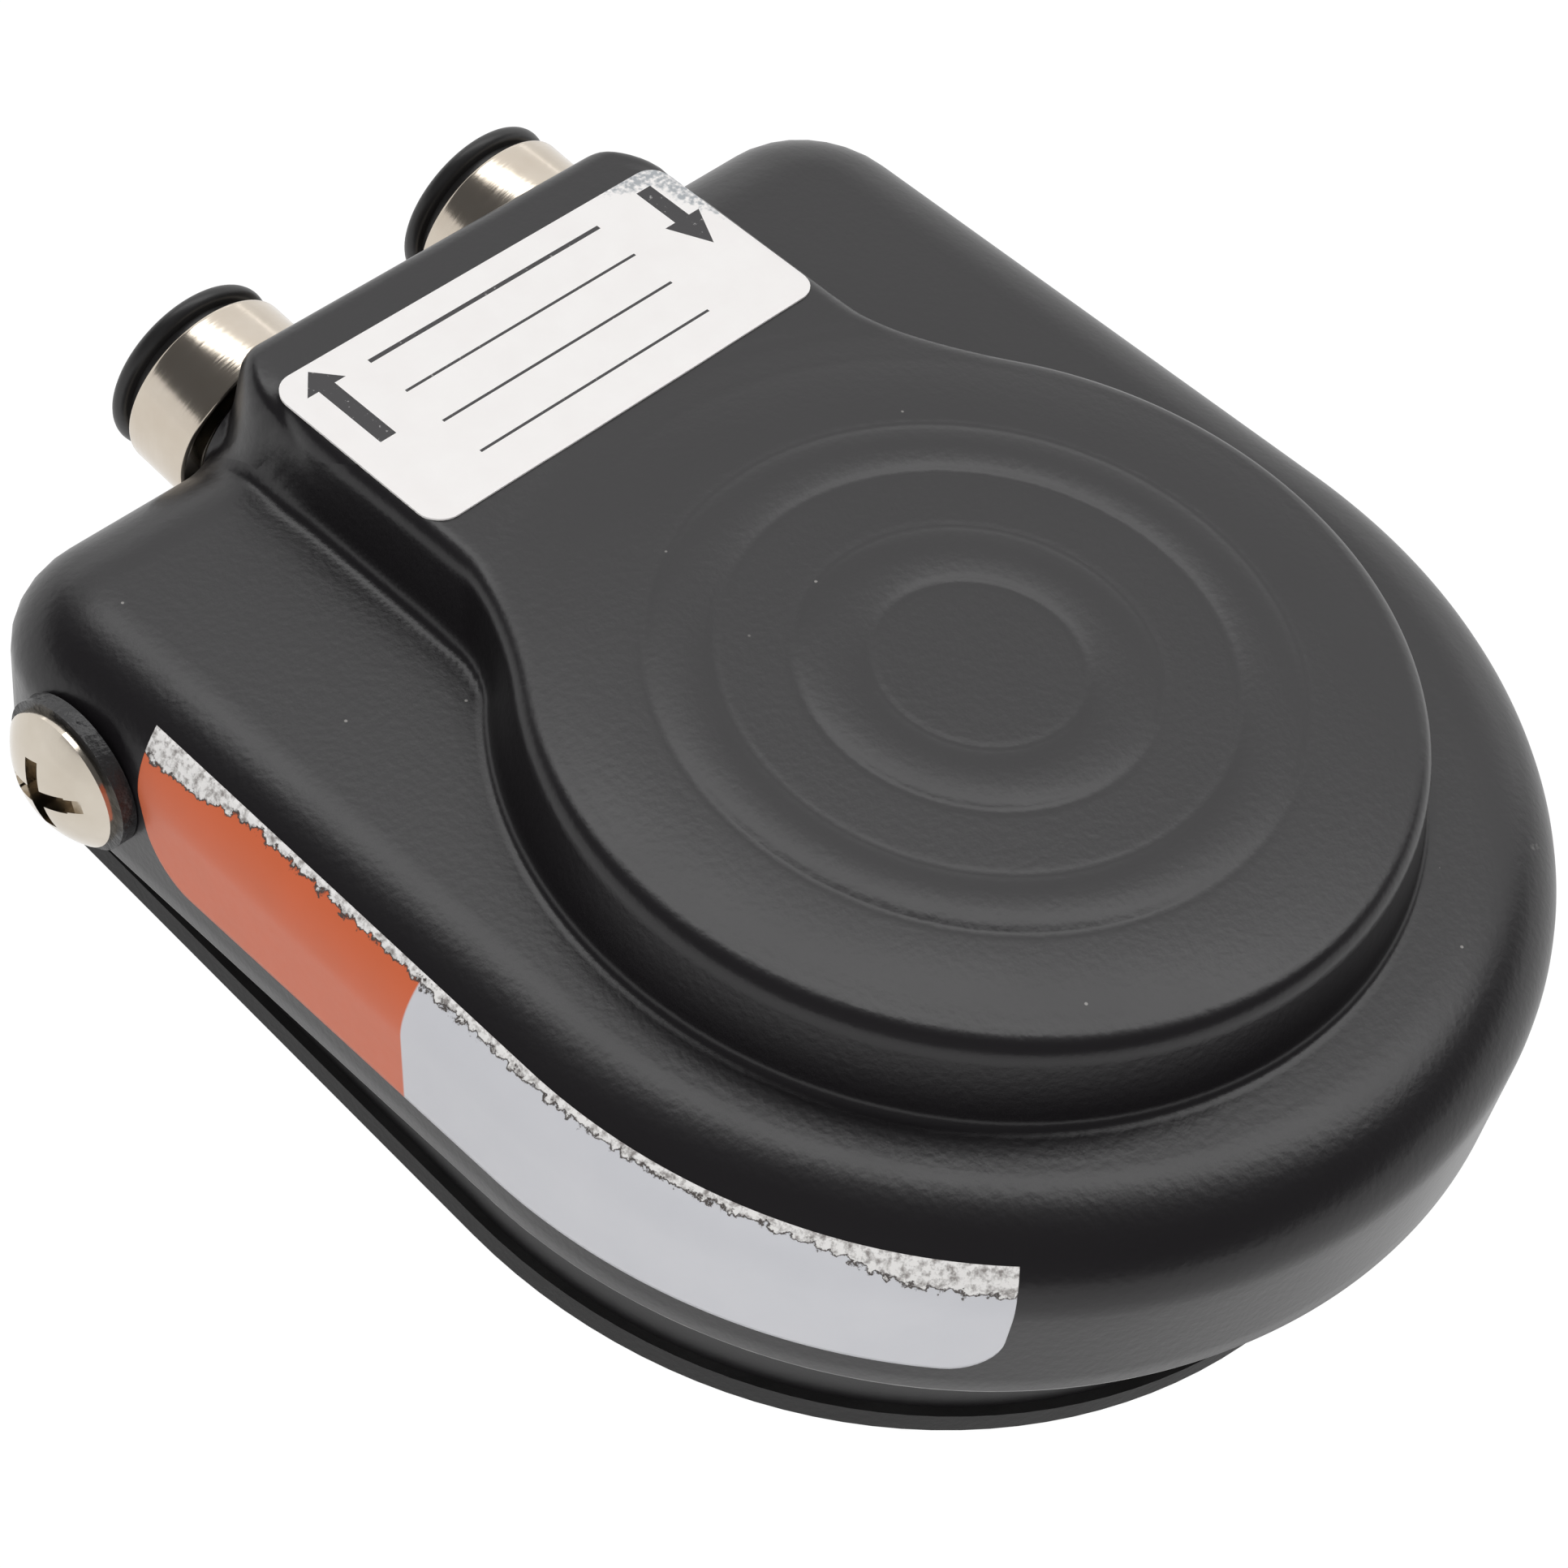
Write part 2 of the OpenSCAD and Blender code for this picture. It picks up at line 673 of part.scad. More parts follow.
module valve_body() {
    color(alloy)
    difference() {
        union() {
            translate([-block_half, block_front, floor_z])
                cube([2 * block_half, block_rear - block_front, block_step_z - floor_z]);
            translate([-block_upper_half, block_front, floor_z])
                cube([2 * block_upper_half, block_rear - block_front, block_top - floor_z]);
        }
        translate([0, stem_y, 0]) {
            translate([0, 0, floor_z - cut]) cylinder(r = plug_r + thread_clear, h = plug_t + cut);
            translate([0, 0, plug_top - cut]) cylinder(r = inlet_chamber_r, h = inlet_chamber_h + cut);
            translate([0, 0, seat_under - cut]) cylinder(r = seat_r, h = seat_t + 2 * cut);
            translate([0, 0, seat_top]) cylinder(r = outlet_chamber_r, h = outlet_chamber_h + cut);
            translate([0, 0, outlet_top]) cylinder(r = guide_r + thread_clear, h = block_top);
        }
        for (side = [-1, 1]) {
            cross_z = side > 0 ? inlet_cross_z : outlet_cross_z;
            translate([side * port_x, neck_y - port_end_gap, port_z])
                along_y() cylinder(r = neck_r + thread_clear, h = thread_l + cut);
            translate([side * port_x, stem_y - passage_r, passage_z(cross_z)])
                along_y() cylinder(r = passage_r, h = neck_y - stem_y + passage_r);
            translate([side * (inlet_chamber_r - cut - cross_r), stem_y, cross_z])
                along_x(side) cylinder(r = cross_r, h = block_half);
        }
        block_screw_places()
            cylinder(r = block_screw_r + thread_clear, h = floor_z + block_screw_depth + screw_end_gap);
    }
}

// The long passage runs at its cross drilling's height, kept inside the port's bore
function passage_z(cross_z) =
    max(port_z - neck_r + passage_r, min(port_z + neck_r - passage_r, cross_z));

module block_screws() {
    color(steel)
    block_screw_places() {
        translate([0, 0, mat_t]) cylinder(r = block_screw_r, h = pan_t + block_screw_depth);
        translate([0, 0, screw_head_gap]) cylinder(r = block_screw_head_r, h = block_screw_head_t);
    }
}

module stem_guide() {
    bore_r = stem_r + stem_clear;
    gland_h = 1.3;
    pin_hole_r = 0.6;
    color(brass)
    translate([0, stem_y, 0])
        difference() {
            union() {
                translate([0, 0, outlet_top]) cylinder(r = guide_r, h = block_top - outlet_top);
                translate([0, 0, block_top]) cylinder(r = guide_flange_r, h = guide_flange_t);
            }
            translate([0, 0, outlet_top - cut])
                cylinder(r = bore_r, h = block_top - outlet_top + guide_flange_t + 2 * cut);
            translate([0, 0, stem_gland_z() - gland_h / 2]) cylinder(r = stem_gland_r, h = gland_h);
            for (side = [-1, 1])
                translate([side * (guide_r - pin_hole_r), 0, block_top])
                    cylinder(r = pin_hole_r, h = block_top);
        }
}

// Middle of the stem seal's gland, half way up the guide
function stem_gland_z() = (outlet_top + block_top) / 2;

module stem_o_ring() {
    color(rubber_black)
    translate([0, stem_y, stem_gland_z()])
        o_ring(stem_r + stem_clear, stem_gland_r - thread_clear);
}

module valve_stem() {
    dome_r = 2 * stem_r;
    color(steel)
    translate([0, stem_y, 0]) {
        intersection() {
            translate([0, 0, poppet_top]) cylinder(r = stem_r, h = stem_top - poppet_top);
            translate([0, 0, stem_top - dome_r - block_top])
                union() {
                    translate([0, 0, block_top]) sphere(dome_r);
                    translate([0, 0, -block_top]) cylinder(r = dome_r, h = 2 * block_top);
                }
        }
        translate([0, 0, poppet_under]) cylinder(r = stem_r / 2, h = poppet_t + stem_r);
    }
}

module poppet() {
    color(brass)
    translate([0, stem_y, poppet_under])
        ring(poppet_r, stem_r / 2 + seat_gap, poppet_t);
}

module poppet_seal() {
    seal_inset = 0.1;
    color(rubber_black)
    translate([0, stem_y, poppet_top])
        ring(poppet_r - seal_inset, stem_r + thread_clear, seal_t);
}

module poppet_spring() {
    wire_r = 0.25;
    turns = 5;
    color(steel)
    translate([0, stem_y, 0])
        coil_spring(poppet_spring_r, wire_r, plug_top - plug_pocket_depth, poppet_under, turns, 0);
}

module bottom_plug() {
    groove_h = 1;
    color(brass)
    translate([0, stem_y, floor_z])
        difference() {
            cylinder(r = plug_r, h = plug_t);
            translate([0, 0, plug_t - plug_pocket_depth]) cylinder(r = plug_pocket_r, h = plug_t);
            translate([0, 0, (plug_t - groove_h) / 2])
                ring(plug_r + cut, plug_r - plug_groove_depth, groove_h);
        }
}

module plug_o_ring() {
    color(rubber_black)
    translate([0, stem_y, floor_z + plug_t / 2])
        o_ring(plug_r - plug_groove_depth + seat_gap, plug_r + seat_gap);
}

module cross_plugs() {
    plug_l = 2.5;
    color(brass)
    for (side = [-1, 1])
        translate([side * (block_half - plug_l), stem_y, side > 0 ? inlet_cross_z : outlet_cross_z])
            along_x(side) cylinder(r = cross_r - seat_gap, h = plug_l);
}

// Push-in fittings

module fitting_body(side) {
    chamfer = 0.35;
    color(nickel)
    translate([side * port_x, 0, port_z])
        difference() {
            union() {
                translate([0, neck_y, 0]) along_y() cylinder(r = neck_r, h = barrel_y - neck_y);
                translate([0, barrel_y, 0]) along_y() {
                    cylinder(r1 = barrel_r - chamfer, r2 = barrel_r, h = chamfer);
                    translate([0, 0, chamfer]) cylinder(r = barrel_r, h = barrel_l - 2 * chamfer);
                    translate([0, 0, barrel_l - chamfer])
                        cylinder(r1 = barrel_r, r2 = barrel_r - chamfer, h = chamfer);
                }
            }
            fitting_bore(flow_r, neck_y - cut, tube_stop_y + cut);
            fitting_bore(tube_r, tube_stop_y, rim_y);
            fitting_bore(gland_r, seal_gland_y, grab_y);
            fitting_bore(grab_recess_r, grab_y, grab_y + grab_l);
            fitting_bore(collet_bore_r, grab_y, rim_y);
            fitting_bore(collet_mouth_r, rim_y - collet_mouth_l, rim_y + cut);
        }
}

// A round hole along Y between two places
module fitting_bore(r, from_y, to_y) {
    translate([0, from_y, 0]) along_y() cylinder(r = r, h = to_y - from_y);
}

module fitting_seal(side) {
    color(rubber_black)
    translate([side * port_x, seal_gland_y + seal_gland_l / 2, port_z])
        along_y() o_ring(tube_r + tube_gap, gland_r - thread_clear);
}

module fitting_grab_ring(side) {
    teeth = 10;
    slit_w = 0.5;
    ring_t = 0.4;
    slit_margin = 0.5;
    slit_end_r = gland_r - slit_margin;
    color(steel)
    translate([side * port_x, grab_y + (grab_l - ring_t) / 2, port_z])
        along_y()
            difference() {
                ring(grab_recess_r - thread_clear, tube_r + grab_tip_gap, ring_t);
                for (i = [0 : teeth - 1])
                    rotate([0, 0, 360 * i / teeth])
                        translate([0, -slit_w / 2, -cut])
                            cube([slit_end_r, slit_w, ring_t + 2 * cut]);
            }
}

module fitting_collet(side) {
    sleeve_y = grab_y + grab_l + collet_travel;
    neck_start = rim_y - collet_mouth_l + collet_travel + collet_clear;
    color(acetal_black)
    translate([side * port_x, 0, port_z])
        difference() {
            union() {
                fitting_bore(collet_sleeve_r, sleeve_y, collet_end_y);
                fitting_bore(collet_neck_r, neck_start, collet_end_y);
                translate([0, collet_flange_y + collet_flange_t / 2, 0])
                    along_y()
                        rotate_extrude() {
                            square_l = collet_flange_r - collet_flange_t / 2;
                            translate([0, -collet_flange_t / 2]) square([square_l, collet_flange_t]);
                            translate([square_l, 0]) circle(collet_flange_t / 2, $fn = 32);
                        }
            }
            fitting_bore(tube_r, sleeve_y - cut, collet_end_y + cut);
        }
}

module inlet_fitting() {
    fitting_body(1);
}

module inlet_tube_seal() {
    fitting_seal(1);
}

module inlet_grab_ring() {
    fitting_grab_ring(1);
}

module inlet_collet() {
    fitting_collet(1);
}

module outlet_fitting() {
    fitting_body(-1);
}

module outlet_tube_seal() {
    fitting_seal(-1);
}

module outlet_grab_ring() {
    fitting_grab_ring(-1);
}

module outlet_collet() {
    fitting_collet(-1);
}

// Pedal group

module pedal_cover() {
    color(paint_black)
    on_pedal()
        difference() {
            cover_form(0, -skirt_depth);
            cover_form(sheet_t, -skirt_depth - cut);
            for (side = [-1, 1]) {
                translate([side * (cover_inner_half - cut), hinge_back, -hinge_drop])
                    along_x(side) cylinder(r = bush_r + hinge_clear, h = sheet_t + 2 * cut);
                translate([side * port_x, cover_back - hump_corner_r, notch_z]) {
                    along_y() cylinder(r = notch_r, h = hump_corner_r + cut);
                    translate([-notch_r, 0, -skirt_depth])
                        cube([2 * notch_r, hump_corner_r + cut, skirt_depth]);
                }
            }
        }
}

module striker_plate() {
    overhang = 1.5;
    color(steel)
    on_pedal()
        translate([-plate_w / 2, inner_ring_r - overhang, -sheet_t - seat_gap - plate_t])
            cube([plate_w, outer_ring_r - inner_ring_r + 2 * overhang, plate_t]);
}

module name_label() {
    color("white")
    on_pedal()
        translate([0, name_label_y + name_label_w / 2, -hump_step])
            linear_extrude(label_t)
                label_shape(name_label_l, name_label_w, label_corner_r);
}

// Section of the side sticker on the skirt and the shoulder, with X as the distance from the pad's axis
module sticker_section() {
    low = sticker_lift - skirt_depth;
    bend = -pad_rise - shoulder_r;
    translate([cover_half + seat_gap, low]) square([label_t, bend - low]);
    translate([cover_half - shoulder_r, bend])
        intersection() {
            difference() {
                circle(shoulder_r + seat_gap + label_t);
                circle(shoulder_r + seat_gap);
            }
            polygon([[0, 0], [cover_w, 0], [cover_w, cover_w * tan(sticker_climb)]]);
        }
}

module side_sticker() {
    color(sticker_orange)
    on_pedal() {
        translate([0, sticker_start, 0])
            rotate([90, 0, 0])
                linear_extrude(sticker_start)
                    mirror([1, 0]) sticker_section();
        rotate([0, 0, 180])
            rotate_extrude(angle = sticker_sweep)
                sticker_section();
    }
}

base_pan();
non_slip_mat();
stop_bumpers();
spring_cup();
pedal_return_spring();
hinge_screws();
hinge_bushes();
hinge_nuts();
valve_body();
block_screws();
stem_guide();
stem_o_ring();
valve_stem();
poppet();
poppet_seal();
poppet_spring();
bottom_plug();
plug_o_ring();
cross_plugs();
inlet_fitting();
inlet_tube_seal();
inlet_grab_ring();
inlet_collet();
outlet_fitting();
outlet_tube_seal();
outlet_grab_ring();
outlet_collet();
pedal_cover();
striker_plate();
name_label();
side_sticker();
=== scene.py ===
"""Looks of the foot pedal air valve: painted cover, labels, fittings and springs as worked-out surfaces."""
import json
import math

import bpy
import numpy as np
from mathutils import Matrix, Vector


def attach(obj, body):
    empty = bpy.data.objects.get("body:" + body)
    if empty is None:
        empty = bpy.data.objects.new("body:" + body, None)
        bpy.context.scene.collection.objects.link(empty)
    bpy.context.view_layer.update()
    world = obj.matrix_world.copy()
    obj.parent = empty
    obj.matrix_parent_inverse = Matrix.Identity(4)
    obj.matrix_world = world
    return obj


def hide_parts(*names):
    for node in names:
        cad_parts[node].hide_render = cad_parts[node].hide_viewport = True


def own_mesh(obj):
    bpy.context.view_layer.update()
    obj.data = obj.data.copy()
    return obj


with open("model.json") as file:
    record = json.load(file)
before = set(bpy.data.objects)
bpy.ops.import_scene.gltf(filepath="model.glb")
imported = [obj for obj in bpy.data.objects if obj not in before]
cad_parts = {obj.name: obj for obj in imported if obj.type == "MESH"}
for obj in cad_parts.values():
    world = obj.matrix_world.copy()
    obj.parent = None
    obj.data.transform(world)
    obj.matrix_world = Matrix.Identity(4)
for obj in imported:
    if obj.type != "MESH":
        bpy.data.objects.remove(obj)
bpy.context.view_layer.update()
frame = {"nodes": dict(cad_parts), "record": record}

MM = 0.001
SCENE = bpy.context.scene

# The pedal's frame has its origin at the pad's centre; at rest it leans back by REST_TILT about the hinge
REST_TILT = math.radians(5)
HINGE_ROW = np.array([0, 33.3, 10.57984])
HINGE_PEDAL = np.array([0, 34.5, -12.4])

# Cover, in millimetres about the pad's centre
COVER_HALF = 36.5
COVER_BACK = 46.0
REAR_CORNER = 8.0
SHEET = 1.2
SHELF_Z = -6.0
SKIRT_Z = -18.3
LIP = 0.45

# Shoulder: a quarter ellipse between shelf and skirt, its sheet thinned by the bend
SHOULDER_RUN = 6.2
SHOULDER_FALL = 4.6
SHOULDER_SHEET = 0.5

# Wear: a scuffed stretch of the shoulder, by direction and by angle down its bend, and the rubbed lip's rows
SCUFF_WEAR = 0.78
SCUFF_AT_DEG, SCUFF_WIDE_DEG = -54.0, 7
SCUFF_DOWN_DEG, SCUFF_DEEP_DEG = 40, 14
LIP_WEAR = [[0.55], [1.0], [1.0], [0.8]]

# Pad: its crown falls away towards the edge; each ring has a middle radius, a width and a rise
PAD_R = 26.9
CROWN_START = 19.5
CROWN_REACH = 5
CROWN_FALL = 0.28
CROWN_LIMIT = 1.1
CROWN_FADE = (24.5, 29)
PAD_RINGS = ((8.5, 4.4, 0.17), (17.15, 3.9, 0.19))
RING_FOOT = 0.005
RING_GROOVE = 0.035
RING_GROOVE_WIDE = 0.26
RINGS_END = 24

# Hump: a little below the pad and drawn in at its rear corners; spans say where one form turns into another
HUMP_HALF = 17.6
HUMP_STEP = 0.45
HUMP_STEP_SPAN = (24.6, 28.2)
HUMP_REAR_EDGE = 1.6
HUMP_REAR_SPAN = (14.5, 19.5)
HUMP_CORNER = 4.5
PAD_TO_HUMP = (19, 27)
JOIN_FILLET = 2.4

# Notches in the rear skirt for the fittings; a narrow strip of skirt stays above each
NOTCH_X = 12.2
NOTCH_R = 5.6
NOTCH_Z = -10.82
NOTCH_STRIP = 0.2

# Push-in fittings
PORT_X = 12.2
PORT_Z = 11.65984
TUBE_R = 3.25


def smooth_step(low, high, x):
    """Zero below low, one above high, and the cubic 3t2 - 2t3 between."""
    t = np.clip((x - low) / (high - low), 0, 1)
    return t * t * (3 - 2 * t)


def on_pedal(points):
    """Carries points from the pedal's frame to the row frame: a turn of -REST_TILT about the hinge."""
    c, s = math.cos(REST_TILT), math.sin(REST_TILT)
    turn = np.array([[1, 0, 0], [0, c, s], [0, -s, c]])
    return HINGE_ROW + (np.asarray(points, float) - HINGE_PEDAL) @ turn.T


def grid_faces(rows, columns, wrap, first_pole, last_pole):
    """Quads and triangles of a grid, outward by row direction x column direction; a pole row is one point."""
    index = np.arange(rows * columns).reshape(rows, columns)
    if first_pole:
        index[0] = index[0, 0]
    if last_pole:
        index[-1] = index[-1, 0]
    if wrap:
        index = np.concatenate([index, index[:, :1]], axis=1)
    quads = np.stack([index[:-1, :-1], index[1:, :-1], index[1:, 1:], index[:-1, 1:]], axis=-1)
    body = quads[int(first_pole):len(quads) - int(last_pole)].reshape(-1, 4)
    fans = [np.zeros((0, 3), int)]
    if first_pole:
        fans.append(quads[0][:, [0, 1, 2]])
    if last_pole:
        fans.append(quads[-1][:, [0, 1, 3]])
    return body, np.concatenate(fans)


def patch(grid, wrap=False, first_pole=False, last_pole=False, uv=None, wear=None):
    """One grid of a piece, in row-frame millimetres, with its seams, poles, surface places and wear."""
    grid = np.asarray(grid, float)
    size = grid.shape[:2]
    return {"points": grid.reshape(-1, 3), "faces": grid_faces(*size, wrap, first_pole, last_pole),
            "uv": np.zeros((*size, 2)) if uv is None else uv,
            "wear": np.zeros(size) if wear is None else wear}


def piece(name, patches, body, finish, replaces=(), sharp=40):
    """Makes one mesh object from grids, shades it smooth up to the sharp angle, and rides it on its body."""
    start = np.cumsum([0] + [len(part["points"]) for part in patches])
    quads = np.concatenate([part["faces"][0] + s for part, s in zip(patches, start)])
    fans = np.concatenate([part["faces"][1] + s for part, s in zip(patches, start)])
    used, corner = np.unique(np.concatenate([quads.ravel(), fans.ravel()]), return_inverse=True)
    points = np.concatenate([part["points"] for part in patches])[used] * MM
    uv = np.concatenate([part["uv"].reshape(-1, 2) for part in patches])[used]
    wear = np.concatenate([part["wear"].ravel() for part in patches])[used]
    mesh = bpy.data.meshes.new(name)
    mesh.vertices.add(len(points))
    mesh.vertices.foreach_set("co", points.astype(np.float32).ravel())
    mesh.loops.add(len(corner))
    mesh.loops.foreach_set("vertex_index", corner.astype(np.int32))
    mesh.polygons.add(len(quads) + len(fans))
    first = np.concatenate([4 * np.arange(len(quads)), 4 * len(quads) + 3 * np.arange(len(fans))])
    mesh.polygons.foreach_set("loop_start", first.astype(np.int32))
    mesh.update(calc_edges=True)
    layer = mesh.uv_layers.new(name="surface_mm")
    layer.data.foreach_set("uv", uv[corner].astype(np.float32).ravel())
    mark = mesh.attributes.new("wear", "FLOAT", "POINT")
    mark.data.foreach_set("value", wear.astype(np.float32))
    mesh.polygons.foreach_set("use_smooth", np.ones(len(mesh.polygons), bool))
    mesh.set_sharp_from_angle(angle=math.radians(sharp))
    mesh.materials.append(finish)
    made = bpy.data.objects.new(name, mesh)
    SCENE.collection.objects.link(made)
    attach(made, body)
    if replaces:
        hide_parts(*replaces)
    return made


def turned(profile, count=96):
    """A profile of (radius, height) rows carried round Z; up the outside and down the bore faces outwards."""
    profile = np.asarray(profile, float)
    angle = -2 * np.pi * np.arange(count) / count
    r, h = profile[:, :1], profile[:, 1:]
    return np.stack([r * np.cos(angle), r * np.sin(angle), h + 0 * angle], axis=-1)


def along_y(points, x, z):
    """Points a shape drawn along Z to the rear, about the axis at x and z."""
    return np.stack([x + points[..., 0], points[..., 2], z - points[..., 1]], axis=-1)


def eased(corners, radius, steps=5):
    """A polyline with each inner corner rounded: a quadratic curve between cut points beside the corner."""
    corners = np.asarray(corners, float)
    before, here, after = corners[:-2], corners[1:-1], corners[2:]
    back, on = before - here, after - here
    back_l = np.linalg.norm(back, axis=1, keepdims=True)
    on_l = np.linalg.norm(on, axis=1, keepdims=True)
    reach = np.minimum(radius, 0.45 * np.minimum(back_l, on_l))
    start, end = here + back / back_l * reach, here + on / on_l * reach
    t = np.linspace(0, 1, steps)[None, :, None]
    curve = (1 - t) ** 2 * start[:, None] + 2 * t * (1 - t) * here[:, None] + t ** 2 * end[:, None]
    return np.concatenate([corners[:1], curve.reshape(-1, corners.shape[1]), corners[-1:]])


# Materials


def linear(code):
    """Turns an sRGB hex colour into linear RGBA by the sRGB curve."""
    c = np.array([int(code[i:i + 2], 16) for i in (1, 3, 5)]) / 255
    c = np.where(c <= 0.04045, c / 12.92, ((c + 0.055) / 1.055) ** 2.4)
    return (*c.tolist(), 1.0)


def add(tree, kind, settings=None, links=None):
    """Adds a node of that kind, sets its properties and sockets, and links sockets to other nodes' outputs."""
    made = tree.nodes.new("ShaderNode" + kind)
    for key, value in (settings or {}).items():
        if isinstance(key, str) and hasattr(made, key):
            setattr(made, key, value)
        else:
            made.inputs[key].default_value = value
    for key, source in (links or {}).items():
        tree.links.new(source, made.inputs[key])
    return made


def finish(name, **sockets):
    """A new material with one Principled shader and its constant sockets; gives material, tree and shader."""
    made = bpy.data.materials.new(name)
    made.use_nodes = True
    tree = made.node_tree
    tree.nodes.clear()
    shader = add(tree, "BsdfPrincipled", {key.replace("_", " "): value for key, value in sockets.items()})
    add(tree, "OutputMaterial", {}, {"Surface": shader.outputs[0]})
    return made, tree, shader


def per_mm(size):
    """Noise scale on metre coordinates whose features are about size millimetres across."""
    return 1000.0 / size


def satin_black_paint(name, base, rough):
    """Black stoving enamel on steel: a satin gloss with fine orange peel, dust specks and edges worn grey."""
    made, tree, shader = finish(name, IOR=1.5)
    at = add(tree, "TexCoord").outputs["Object"]
    patchy = add(tree, "TexNoise", {"Scale": per_mm(9), "Detail": 4.0}, {"Vector": at})
    peel = add(tree, "TexNoise", {"Scale": per_mm(0.5), "Detail": 2.0, "Roughness": 0.5}, {"Vector": at})
    gloss = add(tree, "MapRange", {"To Min": rough - 0.03, "To Max": rough + 0.05},
                {"Value": patchy.outputs["Fac"]})
    tree.links.new(gloss.outputs[0], shader.inputs["Roughness"])
    wear = add(tree, "Attribute", {"attribute_name": "wear"}).outputs["Fac"]
    chips = add(tree, "TexNoise", {"Scale": per_mm(1.2), "Detail": 5.0}, {"Vector": at})
    worn = add(tree, "Math", {"operation": "MULTIPLY"}, {0: wear, 1: chips.outputs["Fac"]})
    bare = add(tree, "MapRange", {"From Min": 0.42, "From Max": 0.56}, {"Value": worn.outputs[0]})
    tone = add(tree, "Mix", {"data_type": "RGBA", 6: linear(base), 7: linear("#8C8986")},
               {0: bare.outputs[0]})
    cells = add(tree, "TexVoronoi", {"Scale": per_mm(2.6)}, {"Vector": at})
    fleck = add(tree, "MapRange", {"From Min": 0.045, "From Max": 0.03}, {"Value": cells.outputs["Distance"]})
    rare = add(tree, "TexNoise", {"Scale": per_mm(6), "Detail": 1.0}, {"Vector": at})
    few = add(tree, "MapRange", {"From Min": 0.60, "From Max": 0.64}, {"Value": rare.outputs["Fac"]})
    dust = add(tree, "Math", {"operation": "MULTIPLY"}, {0: fleck.outputs[0], 1: few.outputs[0]})
    colour = add(tree, "Mix", {"data_type": "RGBA", 7: linear("#8A8784")},
                 {0: dust.outputs[0], 6: tone.outputs[2]})
    tree.links.new(colour.outputs[2], shader.inputs["Base Color"])
    relief = add(tree, "Bump", {"Strength": 0.10, "Distance": 0.0002}, {"Height": peel.outputs["Fac"]})
    tree.links.new(relief.outputs[0], shader.inputs["Normal"])
    return made


def moulded_black(name, base, rough, grain_mm, relief):
    """Black moulded rubber or plastic: a dull, slightly mottled skin with a fine moulded grain."""
    made, tree, shader = finish(name, IOR=1.5)
    at = add(tree, "TexCoord").outputs["Object"]
    grain = add(tree, "TexNoise", {"Scale": per_mm(grain_mm), "Detail": 3.0}, {"Vector": at})
    cloud = add(tree, "TexNoise", {"Scale": per_mm(5), "Detail": 2.0}, {"Vector": at})
    tone = add(tree, "Mix", {"data_type": "RGBA", 6: linear(base), 7: linear("#2A2929")},
               {0: cloud.outputs["Fac"]})
    tree.links.new(tone.outputs[2], shader.inputs["Base Color"])
    gloss = add(tree, "MapRange", {"To Min": rough - 0.06, "To Max": rough + 0.08},
                {"Value": cloud.outputs["Fac"]})
    tree.links.new(gloss.outputs[0], shader.inputs["Roughness"])
    bump = add(tree, "Bump", {"Strength": relief, "Distance": 0.0002}, {"Height": grain.outputs["Fac"]})
    tree.links.new(bump.outputs[0], shader.inputs["Normal"])
    return made


def worked_metal(name, base, shade, rough, stretch, line_mm, relief):
    """Bright metal with the fine lines of its making, turned, drawn or milled, long where stretch is small."""
    made, tree, shader = finish(name, Metallic=1.0)
    at = add(tree, "TexCoord").outputs["Object"]
    along = add(tree, "Mapping", {"Scale": stretch}, {"Vector": at})
    lines = add(tree, "TexNoise", {"Scale": per_mm(line_mm), "Detail": 3.0}, {"Vector": along.outputs[0]})
    cloud = add(tree, "TexNoise", {"Scale": per_mm(3), "Detail": 3.0}, {"Vector": at})
    tone = add(tree, "Mix", {"data_type": "RGBA", 6: linear(base), 7: linear(shade)},
               {0: cloud.outputs["Fac"]})
    tree.links.new(tone.outputs[2], shader.inputs["Base Color"])
    gloss = add(tree, "MapRange", {"To Min": rough - 0.05, "To Max": rough + 0.07},
                {"Value": lines.outputs["Fac"]})
    tree.links.new(gloss.outputs[0], shader.inputs["Roughness"])
    bump = add(tree, "Bump", {"Strength": relief, "Distance": 0.0001}, {"Height": lines.outputs["Fac"]})
    tree.links.new(bump.outputs[0], shader.inputs["Normal"])
    return made


